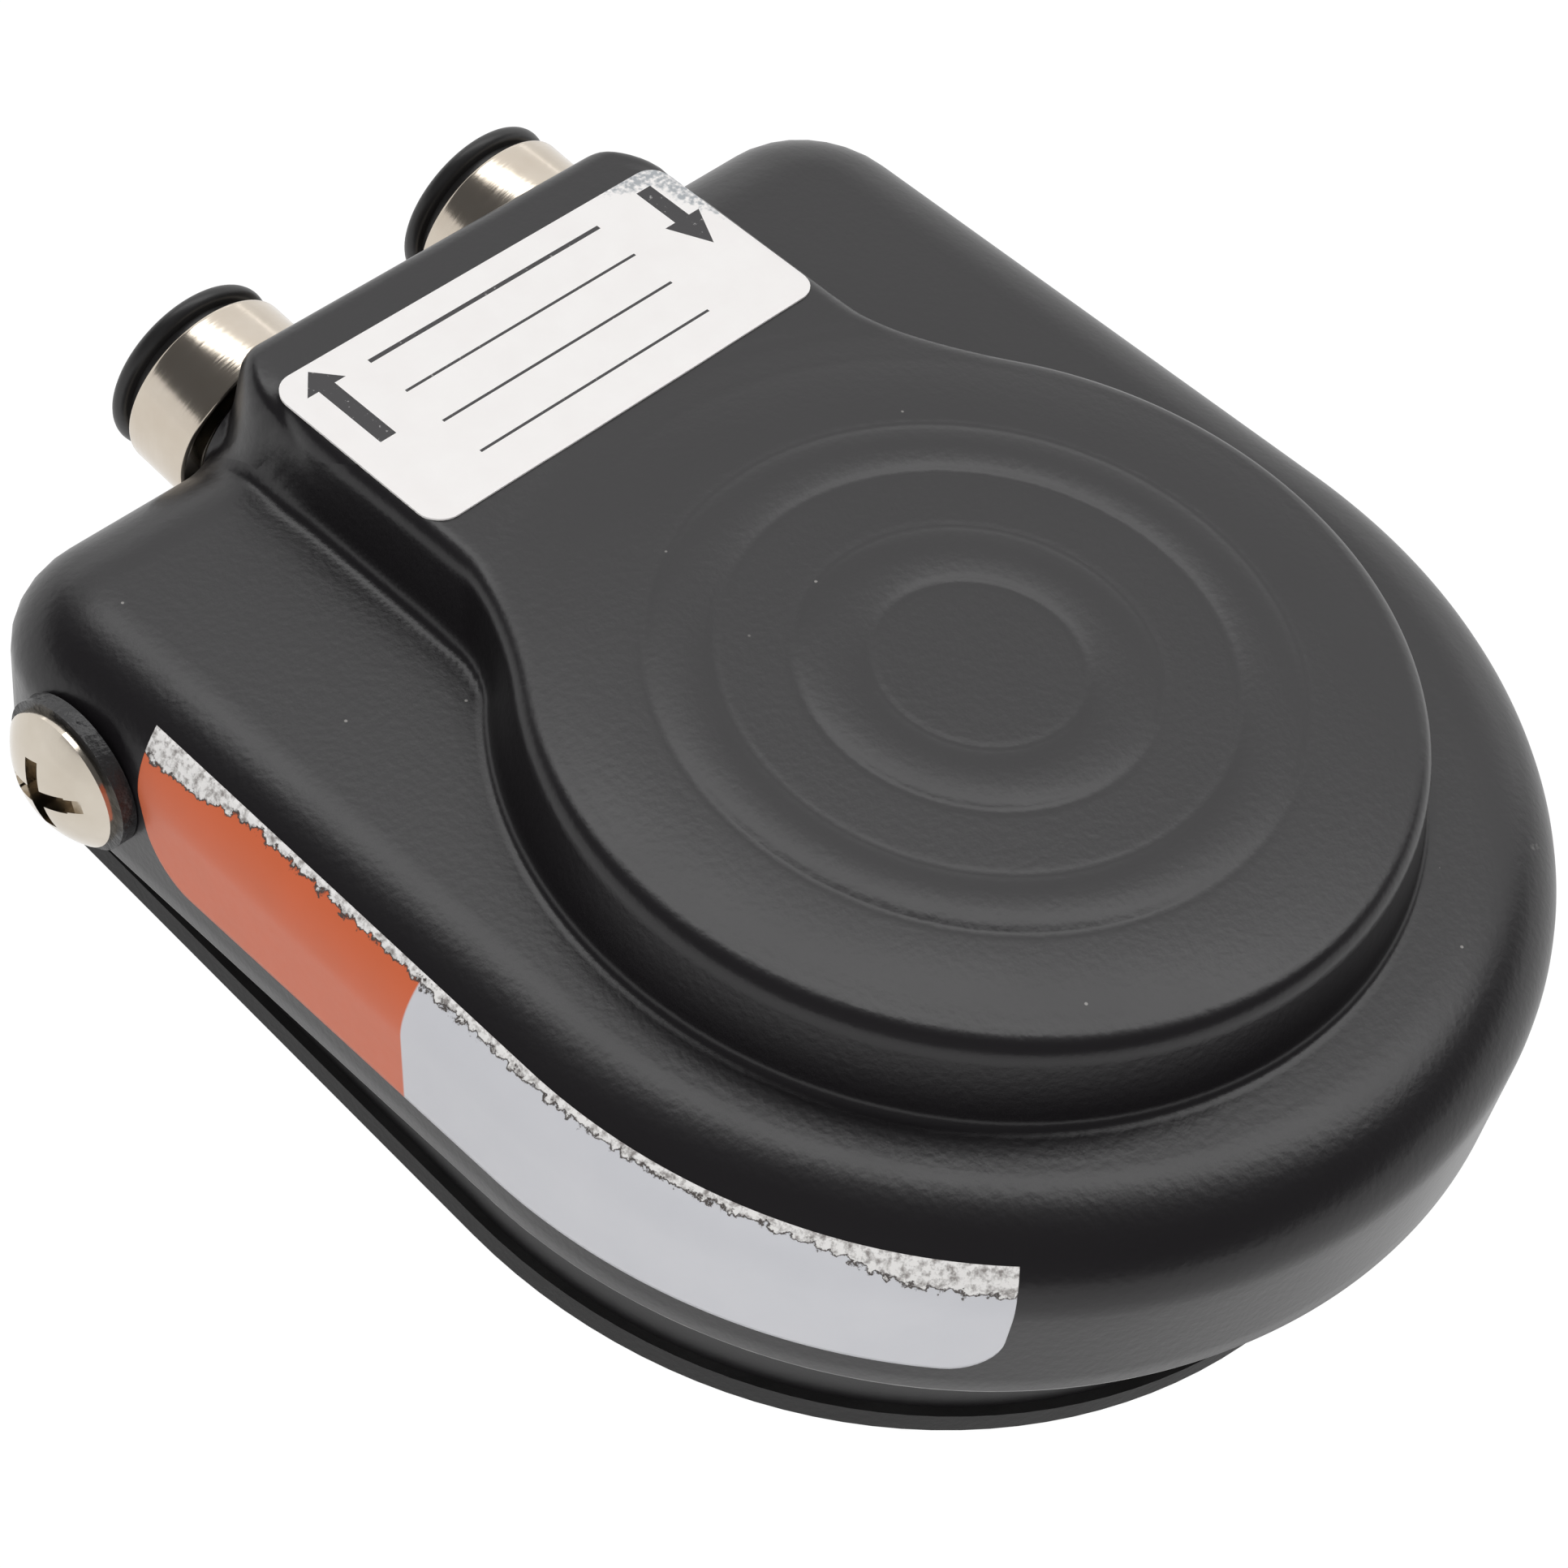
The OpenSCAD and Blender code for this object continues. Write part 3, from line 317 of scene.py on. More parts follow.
def white_label_film(name, rules, arrows):
    """White polyester film, satin over-laminate: thin rules and flow arrows in ink, ends rubbed to silver."""
    made, tree, shader = finish(name, IOR=1.49)
    at = add(tree, "TexCoord").outputs["UV"]
    axes = add(tree, "SeparateXYZ", {}, {"Vector": at})
    x, y = axes.outputs["X"], axes.outputs["Y"]
    # The map is in millimetres: clouds about 3 mm across and a grain of 0.4 mm, as coarse as shows
    cloud = add(tree, "TexNoise", {"Scale": 0.35, "Detail": 4.0}, {"Vector": at})
    fine = add(tree, "TexNoise", {"Scale": 2.6, "Detail": 4.0}, {"Vector": at})
    marks = []
    for middle_x, middle_y, half_x, half_y in rules + [arrow["shaft"] for arrow in arrows]:
        across = add(tree, "Math", {"operation": "COMPARE", 1: middle_x, 2: half_x}, {0: x})
        up = add(tree, "Math", {"operation": "COMPARE", 1: middle_y, 2: half_y}, {0: y})
        marks.append(add(tree, "Math", {"operation": "MULTIPLY"}, {0: across.outputs[0], 1: up.outputs[0]}))
    for arrow in arrows:
        tip_x, tip_y, foot_y, half = arrow["head"]
        slope = half / (foot_y - tip_y)
        wide = add(tree, "Math", {"operation": "MULTIPLY_ADD", 1: slope, 2: -slope * tip_y}, {0: y})
        across = add(tree, "Math", {"operation": "COMPARE", 1: tip_x}, {0: x, 2: wide.outputs[0]})
        up = add(tree, "Math", {"operation": "COMPARE", 1: (tip_y + foot_y) / 2, 2: abs(foot_y - tip_y) / 2},
                 {0: y})
        marks.append(add(tree, "Math", {"operation": "MULTIPLY"}, {0: across.outputs[0], 1: up.outputs[0]}))
    ink = marks[0]
    for mark in marks[1:]:
        ink = add(tree, "Math", {"operation": "MAXIMUM"}, {0: ink.outputs[0], 1: mark.outputs[0]})
    whole = add(tree, "MapRange", {"From Min": 0.24, "From Max": 0.36, "To Min": 0.4},
                {"Value": fine.outputs["Fac"]})
    ink = add(tree, "Math", {"operation": "MULTIPLY"}, {0: ink.outputs[0], 1: whole.outputs[0]})
    wear = add(tree, "Attribute", {"attribute_name": "wear"}).outputs["Fac"]
    rubbed = add(tree, "Math", {"operation": "MULTIPLY"}, {0: wear, 1: fine.outputs["Fac"]})
    bare = add(tree, "MapRange", {"From Min": 0.36, "From Max": 0.56}, {"Value": rubbed.outputs[0]})
    tone = add(tree, "Mix", {"data_type": "RGBA", 6: linear("#FAF8F6"), 7: linear("#F3EFED")},
               {0: cloud.outputs["Fac"]})
    film = add(tree, "Mix", {"data_type": "RGBA", 7: linear("#A9ADB1")},
               {0: bare.outputs[0], 6: tone.outputs[2]})
    colour = add(tree, "Mix", {"data_type": "RGBA", 7: linear("#2E2C2E")},
                 {0: ink.outputs[0], 6: film.outputs[2]})
    tree.links.new(colour.outputs[2], shader.inputs["Base Color"])
    gloss = add(tree, "MapRange", {"To Min": 0.32, "To Max": 0.46}, {"Value": cloud.outputs["Fac"]})
    tree.links.new(gloss.outputs[0], shader.inputs["Roughness"])
    bump = add(tree, "Bump", {"Strength": 0.08, "Distance": 0.0001}, {"Height": fine.outputs["Fac"]})
    tree.links.new(bump.outputs[0], shader.inputs["Normal"])
    return made


def two_tone_vinyl(name, split):
    """Vinyl printed orange and pale grey; its crinkled top edge is rubbed to foil with painted glints and
    shade.
    """
    made, tree, shader = finish(name, IOR=1.49)
    at = add(tree, "TexCoord").outputs["UV"]
    axes = add(tree, "SeparateXYZ", {}, {"Vector": at})
    # The map is in millimetres: clouds about 4.5 mm across, crinkles 0.7 mm and specks 0.5 mm
    cloud = add(tree, "TexNoise", {"Scale": 0.22, "Detail": 4.0}, {"Vector": at})
    fine = add(tree, "TexNoise", {"Scale": 1.5, "Detail": 4.0, "Roughness": 0.6}, {"Vector": at})
    orange = add(tree, "Mix", {"data_type": "RGBA", 6: linear("#D86B46"), 7: linear("#CE6945")},
                 {0: cloud.outputs["Fac"]})
    grey = add(tree, "Mix", {"data_type": "RGBA", 6: linear("#D8D8DC"), 7: linear("#CECFD4")},
               {0: cloud.outputs["Fac"]})
    past = add(tree, "MapRange", {"From Min": split - 0.06, "From Max": split + 0.06},
               {"Value": axes.outputs["X"]})
    printed = add(tree, "Mix", {"data_type": "RGBA"},
                  {0: past.outputs[0], 6: orange.outputs[2], 7: grey.outputs[2]})
    ragged = add(tree, "MapRange", {"From Min": 0.3, "From Max": 0.7, "To Min": -0.35, "To Max": 0.35},
                 {"Value": fine.outputs["Fac"]})
    wear = add(tree, "Attribute", {"attribute_name": "wear"}).outputs["Fac"]
    edge = add(tree, "Math", {"operation": "ADD"}, {0: wear, 1: ragged.outputs[0]})
    foil = add(tree, "MapRange", {"From Min": -0.04, "From Max": 0.06}, {"Value": edge.outputs[0]})
    rim = add(tree, "MapRange", {"From Min": -0.20, "From Max": -0.10}, {"Value": edge.outputs[0]})
    line = add(tree, "Mix", {"data_type": "RGBA", 7: linear("#4A4441")},
               {0: rim.outputs[0], 6: printed.outputs[2]})
    specks = add(tree, "TexNoise", {"Scale": 1.9, "Detail": 5.0, "Roughness": 0.65}, {"Vector": at})
    # The foil's own silver, mottled near white and grey by the specks: painted glints and painted shade of its
    # crinkles
    painted_crinkle_shade = add(tree, "MapRange", {"From Min": 0.46, "From Max": 0.64}, {"Value": specks.outputs["Fac"]})
    foil_silver_and_painted_glints = add(tree, "Mix", {"data_type": "RGBA", 6: linear("#EFEDEB"), 7: linear("#918C89")},
                 {0: painted_crinkle_shade.outputs[0]})
    colour = add(tree, "Mix", {"data_type": "RGBA"},
                 {0: foil.outputs[0], 6: line.outputs[2], 7: foil_silver_and_painted_glints.outputs[2]})
    tree.links.new(colour.outputs[2], shader.inputs["Base Color"])
    gloss = add(tree, "MapRange", {"To Min": 0.30, "To Max": 0.48}, {"Value": fine.outputs["Fac"]})
    tree.links.new(gloss.outputs[0], shader.inputs["Roughness"])
    height = add(tree, "Math", {"operation": "MULTIPLY"}, {0: foil.outputs[0], 1: specks.outputs["Fac"]})
    bump = add(tree, "Bump", {"Strength": 0.4, "Distance": 0.0003}, {"Height": height.outputs[0]})
    tree.links.new(bump.outputs[0], shader.inputs["Normal"])
    return made


# Marks on the name label, in millimetres about the pad's centre: rules and shafts as middle x, middle y and
# half sizes, heads as tip x, tip y, foot y and half width
LABEL_RULES = [(-0.5, 39.9, 9.6, 0.16), (-0.5, 36.7, 9.6, 0.10), (-0.5, 33.5, 9.6, 0.10),
               (-0.5, 30.3, 9.6, 0.10)]
LABEL_ARROWS = [{"shaft": (-13.5, 37.2, 0.62, 2.7), "head": (-13.5, 41.5, 39.85, 1.5)},
                {"shaft": (13.8, 38.9, 0.62, 1.75), "head": (13.8, 34.4, 37.2, 1.5)}]
# Side sticker: where its two colours meet along it, and its height up the section at its start and its end
STICKER_SPLIT = 21.6
STICKER_TOP = (9.5, 8.5)
FINISHES = {
    "cover_paint": satin_black_paint("satin_black_enamel", "#191719", 0.31),
    "pan_paint": satin_black_paint("satin_black_enamel_pan", "#1C1B1C", 0.44),
    "mat_rubber": moulded_black("moulded_rubber_mat", "#121212", 0.72, 0.5, 0.25),
    "bumper_rubber": moulded_black("moulded_rubber_stop", "#141414", 0.65, 0.4, 0.15),
    "seal_rubber": moulded_black("nitrile_rubber", "#0E0E0E", 0.5, 0.3, 0.05),
    "collet_acetal": moulded_black("black_acetal", "#0D0C0D", 0.38, 0.4, 0.05),
    "bush_nylon": moulded_black("black_nylon", "#141417", 0.36, 0.9, 1.0),
    "zinc_steel": worked_metal("zinc_plated_steel", "#A9ABAF", "#8F9399", 0.34, (1, 1, 1), 0.4, 0.10),
    "spring_steel": worked_metal("drawn_spring_steel", "#96989B", "#7E8083", 0.30, (1, 1, 1), 0.3, 0.08),
    "stainless": worked_metal("ground_stainless_steel", "#B4B4B6", "#A0A0A3", 0.26, (1, 1, 0.1), 0.2, 0.10),
    "nickel_screw": worked_metal("bright_nickel_plate", "#D6CEC2", "#BFB5A6", 0.14, (1, 1, 1), 1.2, 0.06),
    "nickel_brass": worked_metal("turned_nickel_plated_brass", "#D5CCC0", "#C2B6A6", 0.17, (0.05, 1, 0.05),
                                 0.25, 0.12),
    "plain_brass": worked_metal("turned_brass", "#C8A150", "#B58B3E", 0.26, (0.1, 0.1, 1), 0.25, 0.10),
    "valve_alloy": worked_metal("milled_aluminium", "#B9BBBE", "#A6A9AD", 0.34, (0.08, 1, 1), 0.25, 0.12),
    "label_film": white_label_film("white_polyester_film", LABEL_RULES, LABEL_ARROWS),
    "sticker_film": two_tone_vinyl("printed_vinyl_film", STICKER_SPLIT),
}

for part in frame["record"]["subparts"]:
    node = frame["nodes"][part["node"]]
    node.data.materials.clear()
    node.data.materials.append(FINISHES[part["material_slot"]])


# Pedal cover


def wall_profile(angle, top_r, foot_r, middle, rise, window):
    """Plan offset and height along a wall by even steps of length: flat, rounding, slope, fillet, flat."""
    a = math.radians(angle)
    fall = rise - (top_r + foot_r) * (1 - math.cos(a))
    straight = fall / math.sin(a)
    lengths = [top_r * a, straight, foot_r * a]
    run = top_r * math.sin(a) + straight * math.cos(a) + foot_r * math.sin(a)
    start = middle - top_r * math.sin(a) - straight * math.cos(a) / 2
    flat_in, flat_out = start - window[0], window[1] - start - run
    marks = np.cumsum([0, flat_in, *lengths, flat_out])
    s = np.linspace(0, marks[-1], 600)
    turn = np.clip((s - marks[1]) / top_r, 0, a)
    level = np.clip(s - marks[2], 0, straight)
    back = np.clip((s - marks[3]) / foot_r, 0, a)
    offset = (window[0] + np.clip(s, 0, flat_in) + top_r * np.sin(turn) + level * math.cos(a)
              + foot_r * (math.sin(a) - np.sin(a - back)) + np.clip(s - marks[4], 0, None))
    height = -(top_r * (1 - np.cos(turn)) + level * math.sin(a) + foot_r * (np.cos(a - back) - math.cos(a)))
    return s / marks[-1], offset, height


# Each wall's slope in degrees, top rounding, foot fillet and middle, within a window of plan offsets
WALL_WINDOW = (-4.6, 2.3)
PAD_WALL = wall_profile(80, 1.2, 0.45, 0.05, -SHELF_Z, WALL_WINDOW)
HUMP_WALL = wall_profile(80, 1.4, 0.9, -0.2, -SHELF_Z, WALL_WINDOW)


def raised_distance(x, y):
    """Signed plan distance to the raised form: the pad's disc and the hump's strip joined by a fillet."""
    disc = np.hypot(x, y) - PAD_R
    narrowing = np.clip(y - (COVER_BACK - HUMP_CORNER), 0, None) ** 2 / (2 * HUMP_CORNER)
    strip = np.maximum(np.abs(x) - HUMP_HALF + narrowing, -y)
    u, v = np.clip(JOIN_FILLET - disc, 0, None), np.clip(JOIN_FILLET - strip, 0, None)
    return np.maximum(JOIN_FILLET, np.minimum(disc, strip)) - np.hypot(u, v)


def raised_ring(r, middle, width, rise):
    """Height of a low ring: an arc's cap above zero by a soft maximum, less a fine groove at each foot."""
    crown = (width ** 2 / 4 + rise ** 2) / (2 * rise)
    cap = np.sqrt(np.clip(crown ** 2 - (r - middle) ** 2, 0, None)) - (crown - rise)
    groove = RING_GROOVE * np.exp(-((np.abs(r - middle) - width / 2) / RING_GROOVE_WIDE) ** 2)
    return 0.5 * (cap + np.sqrt(cap ** 2 + RING_FOOT ** 2)) - groove


def top_surface(x, y, free):
    """Plan points moved so that walls are sampled evenly, and heights: walls, crown, rings, hump's step."""
    step = 0.02
    d = raised_distance(x, y)
    gx = (raised_distance(x + step, y) - raised_distance(x - step, y)) / (2 * step)
    gy = (raised_distance(x, y + step) - raised_distance(x, y - step)) / (2 * step)
    size = np.maximum(np.hypot(gx, gy), 1e-6)
    hump = smooth_step(*PAD_TO_HUMP, y)
    share = np.clip((d - WALL_WINDOW[0]) / (WALL_WINDOW[1] - WALL_WINDOW[0]), 0, 1)
    pad_offset, pad_height = (np.interp(share, PAD_WALL[0], PAD_WALL[i]) for i in (1, 2))
    hump_offset, hump_height = (np.interp(share, HUMP_WALL[0], HUMP_WALL[i]) for i in (1, 2))
    offset = pad_offset + (hump_offset - pad_offset) * hump
    height = pad_height + (hump_height - pad_height) * hump
    still_pad = np.interp(d, PAD_WALL[1], PAD_WALL[2])
    still_hump = np.interp(d, HUMP_WALL[1], HUMP_WALL[2])
    still = still_pad + (still_hump - still_pad) * hump
    inside = (d > WALL_WINDOW[0]) & (d < WALL_WINDOW[1])
    shift = np.where(inside, offset - d, 0) * free
    height = np.where(inside, free * height + (1 - free) * still, still)
    x, y = x + shift * gx / size, y + shift * gy / size
    r = np.hypot(x, y)
    fallen = np.clip(height / SHELF_Z, 0, 1)
    crown = -CROWN_FALL * np.clip((r - CROWN_START) / CROWN_REACH, 0, CROWN_LIMIT) ** 2
    crown = crown * (1 - smooth_step(*CROWN_FADE, r))
    step_down = -HUMP_STEP * smooth_step(*HUMP_STEP_SPAN, r)
    rings = sum(raised_ring(r, *ring) for ring in PAD_RINGS) * (r < RINGS_END)
    return x, y, height + (crown + step_down) * (1 - fallen) + rings


def cover_outline(angle, inset):
    """Point and outward normal where the ray at each angle meets the plan outline shrunk by inset."""
    c, s = np.cos(angle), np.sin(angle)
    half, rear, corner = COVER_HALF - inset, COVER_BACK - inset, REAR_CORNER - inset
    cx, cy = COVER_HALF - REAR_CORNER, COVER_BACK - REAR_CORNER
    ac = np.maximum(np.abs(c), 1e-9)
    b = ac * cx + s * cy
    reach = b + np.sqrt(np.clip(b ** 2 - (cx ** 2 + cy ** 2 - corner ** 2), 0, None))
    nx, ny = (reach * ac - cx) / corner * np.sign(c), (reach * s - cy) / corner
    side = (s >= 0) & (half / ac * s <= cy)
    back = (s > 0) & (rear / np.maximum(s, 1e-9) * ac <= cx)
    front = s < 0
    reach = np.where(back, rear / np.maximum(s, 1e-9), reach)
    reach = np.where(front, half, np.where(side, half / ac, reach))
    nx = np.where(front, c, np.where(side, np.sign(c), np.where(back, 0, nx)))
    ny = np.where(front, s, np.where(side, 0, np.where(back, 1, ny)))
    return reach * c, reach * s, nx, ny


def cover_columns():
    """Column angles about the pad's centre, close across the hump's walls, doubled at the notches' sides."""
    def span(low, high, count):
        return np.radians(np.linspace(low, high, count, endpoint=False))
    inset_back = COVER_BACK - SHOULDER_RUN
    sides = np.array([NOTCH_X - NOTCH_R, NOTCH_X + NOTCH_R])
    marks = np.concatenate([sides - 0.01, sides + 0.01])
    marks = np.arctan2(inset_back, np.concatenate([marks, -marks]))
    angles = np.concatenate([span(-220, 40, 240), span(40, 82, 104), span(82, 98, 16), span(98, 140, 104)])
    gap = np.abs(angles[:, None] - marks[None, :]).min(axis=1)
    return np.sort(np.concatenate([angles[gap > np.radians(0.1)], marks]))


def pedal_cover():
    """The cover as one closed skin: pad, hump, shelf, shoulder, skirt and lip, then back up inside."""
    angle = cover_columns()
    bx, by, nx, ny = cover_outline(angle, SHOULDER_RUN)
    edge_x, edge_y = bx + SHOULDER_RUN * nx, by + SHOULDER_RUN * ny
    at_rear = edge_y > COVER_BACK - 0.01
    at_hump = (1 - smooth_step(*HUMP_REAR_SPAN, np.abs(edge_x))) * at_rear
    run = SHOULDER_RUN + (HUMP_REAR_EDGE - SHOULDER_RUN) * at_hump
    drop = SHOULDER_FALL + (HUMP_REAR_EDGE - SHOULDER_FALL) * at_hump

    # Top: circles close together on the rings, then rows that spread to the shoulder's start
    rings = np.concatenate([
        [0.0, 2.5, 5.0], np.linspace(5.7, 11.3, 27), [12.4, 13.6], np.linspace(14.5, 19.8, 26),
        np.linspace(20.4, 28.6, 34)])
    x = rings[:, None] * np.cos(angle)
    y = rings[:, None] * np.sin(angle)
    share = np.linspace(0, 1, 53)[1:, None]
    x = np.concatenate([x, x[-1] + share * (edge_x - run * nx - x[-1])])
    y = np.concatenate([y, y[-1] + share * (edge_y - run * ny - y[-1])])
    free = np.concatenate([np.ones((len(rings), 1)), 1 - smooth_step(0.7, 1.0, share)]) + 0 * angle
    x, y, z = top_surface(x, y, free)

    # Shoulder
    turn = np.radians(np.linspace(0, 90, 15))[1:, None]
    out = run * (1 - np.sin(turn))
    sx, sy = edge_x - out * nx, edge_y - out * ny
    _, _, sz = top_surface(sx, sy, np.zeros_like(sx))
    sz = sz - drop * (1 - np.cos(turn))

    # Lower edge: level, with a round arch over each fitting
    in_notch = (np.abs(np.abs(edge_x) - NOTCH_X) < NOTCH_R) & at_rear
    arch = NOTCH_Z + np.sqrt(np.clip(NOTCH_R ** 2 - (np.abs(edge_x) - NOTCH_X) ** 2, 0, None))
    low = np.where(in_notch, arch, SKIRT_Z)
    sz = np.maximum(sz, low + LIP + NOTCH_STRIP)

    # Skirt, its rolled lip, and the inside of the skirt
    fall = np.linspace(0, 1, 7)[1:, None]
    kz = sz[-1] + fall * (low + LIP - sz[-1])
    curl = np.radians([0, 45, 90])[1:, None]
    lz = low + LIP - LIP * np.sin(curl)
    l_in = LIP * (1 - np.cos(curl))
    inner_in = np.array([SHEET - LIP, SHEET - LIP * (1 - math.cos(math.radians(45))), SHEET])[:, None]
    inner_z = np.stack([low, low + LIP * (1 - math.sin(math.radians(45))), low + LIP])
    rise = np.linspace(0, 1, 5)[1:-1, None]
    up_z = low + LIP + rise * (sz[-1] - low - LIP)

    def column_points(inset, height):
        inset = np.broadcast_to(inset, height.shape)
        return np.stack([edge_x - inset * nx, edge_y - inset * ny, height], axis=-1)

    # Under-side: the outside moved in along its normals, with fewer rows
    top = np.stack([x, y, z], axis=-1)
    shoulder = np.stack([sx, sy, sz], axis=-1)
    upper = np.concatenate([top, shoulder])
    down_rows = np.gradient(upper, axis=0)
    round_columns = np.roll(upper, -2, axis=1) - np.roll(upper, 2, axis=1)
    normal = np.cross(down_rows, round_columns)
    normal[0] = [0, 0, 1]
    normal /= np.maximum(np.linalg.norm(normal, axis=-1, keepdims=True), 1e-9)
    keep = np.concatenate([[0, 2], np.arange(4, len(rings), 6), np.arange(len(rings), len(upper), 4),
                           [len(upper) - 1]])
    thick = np.concatenate([np.full((len(top), 1), SHEET),
                            SHEET + (SHOULDER_SHEET - SHEET) * smooth_step(0, 0.6, turn)])
    under = (upper - thick[..., None] * normal)[np.unique(keep)[::-1]]
    grid = np.concatenate([
        upper, column_points(0.0, kz), column_points(l_in, lz), column_points(inner_in, inner_z),
        column_points(SHEET, up_z), under])
    wear = np.zeros(grid.shape[:2])
    lip_row = len(upper) + len(kz)
    wear[lip_row - 1:lip_row + 3] = LIP_WEAR
    scuffs = SCUFF_WEAR * np.exp(-((np.degrees(angle) - SCUFF_AT_DEG) / SCUFF_WIDE_DEG) ** 2)
    wear[len(top):len(upper)] = scuffs * np.exp(-((np.degrees(turn) - SCUFF_DOWN_DEG) / SCUFF_DEEP_DEG) ** 2)
    return patch(on_pedal(grid), wrap=True, first_pole=True, last_pole=True, wear=wear)


piece("pedal_cover_skin", [pedal_cover()], "pedal", FINISHES["cover_paint"], ["pedal_cover"],
      sharp=60)


# Labels


def name_label():
    """A thin rectangle with round corners laid on the hump: rows as long as the corners allow, and a rim."""
    half_l, low, high, corner, thick, sunk = 16.2, 27.4, 42.0, 1.6, 0.12, 0.03
    y = np.concatenate([low + corner * (1 - np.cos(np.linspace(0, np.pi / 2, 9))),
                        np.linspace(low + corner, high - corner, 20)[1:-1],
                        high - corner * (1 - np.cos(np.linspace(np.pi / 2, 0, 9)))])[:, None]
    into = np.clip(np.maximum(low + corner - y, y - high + corner), 0, corner)
    half = half_l - corner + np.sqrt(corner ** 2 - into ** 2)
    u = np.linspace(-1, 1, 70)
    x = u * half
    y = y + 0 * u
    _, _, z = top_surface(x, y, np.zeros_like(x))
    grid = np.stack([x, y, z + thick], axis=-1)
    foot = grid.copy()
    foot[..., 2] -= thick + sunk
    rim_top = np.concatenate([grid[0], grid[1:, -1], grid[-1, -2::-1], grid[-2:0:-1, 0]])
    rim_foot = np.concatenate([foot[0], foot[1:, -1], foot[-1, -2::-1], foot[-2:0:-1, 0]])
    uv = np.stack([x, y], axis=-1)
    near = np.minimum(half_l - np.abs(x), np.minimum(y - low, high - y))
    # Rubbed along its edges, most at the rear of its right end
    right_end = smooth_step(9, 16, x) * smooth_step(33, 41, y)
    wear = np.clip(0.95 * smooth_step(2.2, 0.0, near) * (0.35 + 0.65 * right_end) + 0.62 * right_end, 0, 1)
    rim = np.stack([rim_foot, rim_top])
    return [patch(on_pedal(grid)[:, ::-1], uv=uv[:, ::-1], wear=wear[:, ::-1]),
            patch(on_pedal(rim)[:, ::-1], wrap=True, uv=rim[:, ::-1, :2], wear=np.full(rim.shape[:2], 0.6))]


piece("name_label_film", name_label(), "pedal", FINISHES["label_film"], ["name_label"])


def sticker_path(along):
    """Point and outward normal on the cover's left: straight along -Y, then round the front's half circle."""
    start, r = 29.2, COVER_HALF
    turn = np.clip(along - start, 0, None) / r
    x = np.where(along < start, -r, -r * np.cos(turn))
    y = np.where(along < start, start - along, -r * np.sin(turn))
    nx = np.where(along < start, -1.0, -np.cos(turn))
    ny = np.where(along < start, 0.0, -np.sin(turn))
    return x, y, nx, ny


def side_sticker():
    """A band up the skirt and over the shoulder: columns along the outline, rows by length up the section."""
    long, low, corner, lift = 59.1, -15.6, 3.0, 0.07
    lean_most, lean_end, lean_about = 0.28, 40, 4.5
    band_thin, band_more = 0.45, 1.1
    along = np.concatenate([corner * (1 - np.cos(np.linspace(0, np.pi / 2, 10))),
                            np.linspace(corner, long - corner, 120)[1:-1],
                            long - corner * (1 - np.cos(np.linspace(np.pi / 2, 0, 10)))])
    into = np.clip(np.maximum(corner - along, along - long + corner), 0, corner)
    start = corner - np.sqrt(corner ** 2 - into ** 2)
    top = STICKER_TOP[0] + (STICKER_TOP[1] - STICKER_TOP[0]) * along / long
    high = start + np.linspace(0, 1, 34)[:, None] * (top - start)
    bend = SHELF_Z - SHOULDER_FALL
    turn = np.linspace(0, np.pi / 2, 200)
    steps = np.hypot(np.diff(SHOULDER_RUN * np.cos(turn)), np.diff(SHOULDER_FALL * np.sin(turn)))
    arc = np.concatenate([[0], np.cumsum(steps)])
    turn = np.interp(np.clip(high - (bend - low), 0, None), arc, turn)
    z = np.minimum(low + high, bend) + (SHOULDER_FALL + lift) * np.sin(turn)
    inset = (SHOULDER_RUN + lift) * (1 - np.cos(turn)) - lift
    # Its start leans to the rear with height
    lean = lean_most * np.clip(1 - along / lean_end, 0, 1)
    x, y, nx, ny = sticker_path(along - lean * (high - lean_about))
    grid = np.stack([x - inset * nx, y - inset * ny, z], axis=-1)
    uv = np.stack([along + 0 * high, high], axis=-1)
    # Height above the worn band's lower edge; the band is narrow in the middle and wider at both ends
    band = band_thin + band_more * smooth_step(9, 2, along) + band_more * smooth_step(46, 55, along)
    wear = np.clip(high - (top - band), -4, 4)
    return [patch(on_pedal(grid)[::-1], uv=uv[::-1], wear=wear[::-1])]


sticker = piece("side_sticker_film", side_sticker(), "pedal", FINISHES["sticker_film"],
                ["side_sticker"])
skin = sticker.modifiers.new("film thickness", "SOLIDIFY")
skin.thickness = 0.05 * MM
skin.offset = -1


# Push-in fittings


def fitting(side):
    """A nickel-plated body turned about the tube's axis: neck, barrel with eased rims and stepped bore."""
    outside = eased([[2.4, 33.3], [4.5, 33.3], [4.5, 46.0], [6.25, 46.0], [6.25, 51.1], [5.5, 51.1]], 0.3)
    bore = [[5.5, 50.0], [4.55, 50.0], [4.55, 48.9], [5.0, 48.9], [5.0, 48.1], [4.75, 48.1], [4.75, 46.7],
            [TUBE_R, 46.7], [TUBE_R, 42.0], [2.4, 42.0], [2.4, 33.3]]
    grid = turned(np.concatenate([outside, bore]))
    return patch(along_y(grid, side * PORT_X, PORT_Z), wrap=True)


def collet(side):
    """A black release collet turned about the tube's axis: short sleeve, neck and round-edged flange."""
    flange_r, edge_r, flange_y = 6.1, 0.6, 52.5
    around = np.radians(np.linspace(-90, 90, 13))
    edge = np.stack([flange_r - edge_r + edge_r * np.cos(around), flange_y + edge_r * np.sin(around)], axis=-1)
    profile = np.concatenate([
        [[TUBE_R, 49.6], [4.45, 49.6], [4.45, 50.8], [5.3, 50.8], [5.3, 51.9]], edge,
        eased([[4.3, 53.1], [3.6, 53.1], [TUBE_R, 52.6], [TUBE_R, 49.6]], 0.3)])
    return patch(along_y(turned(profile), side * PORT_X, PORT_Z), wrap=True)


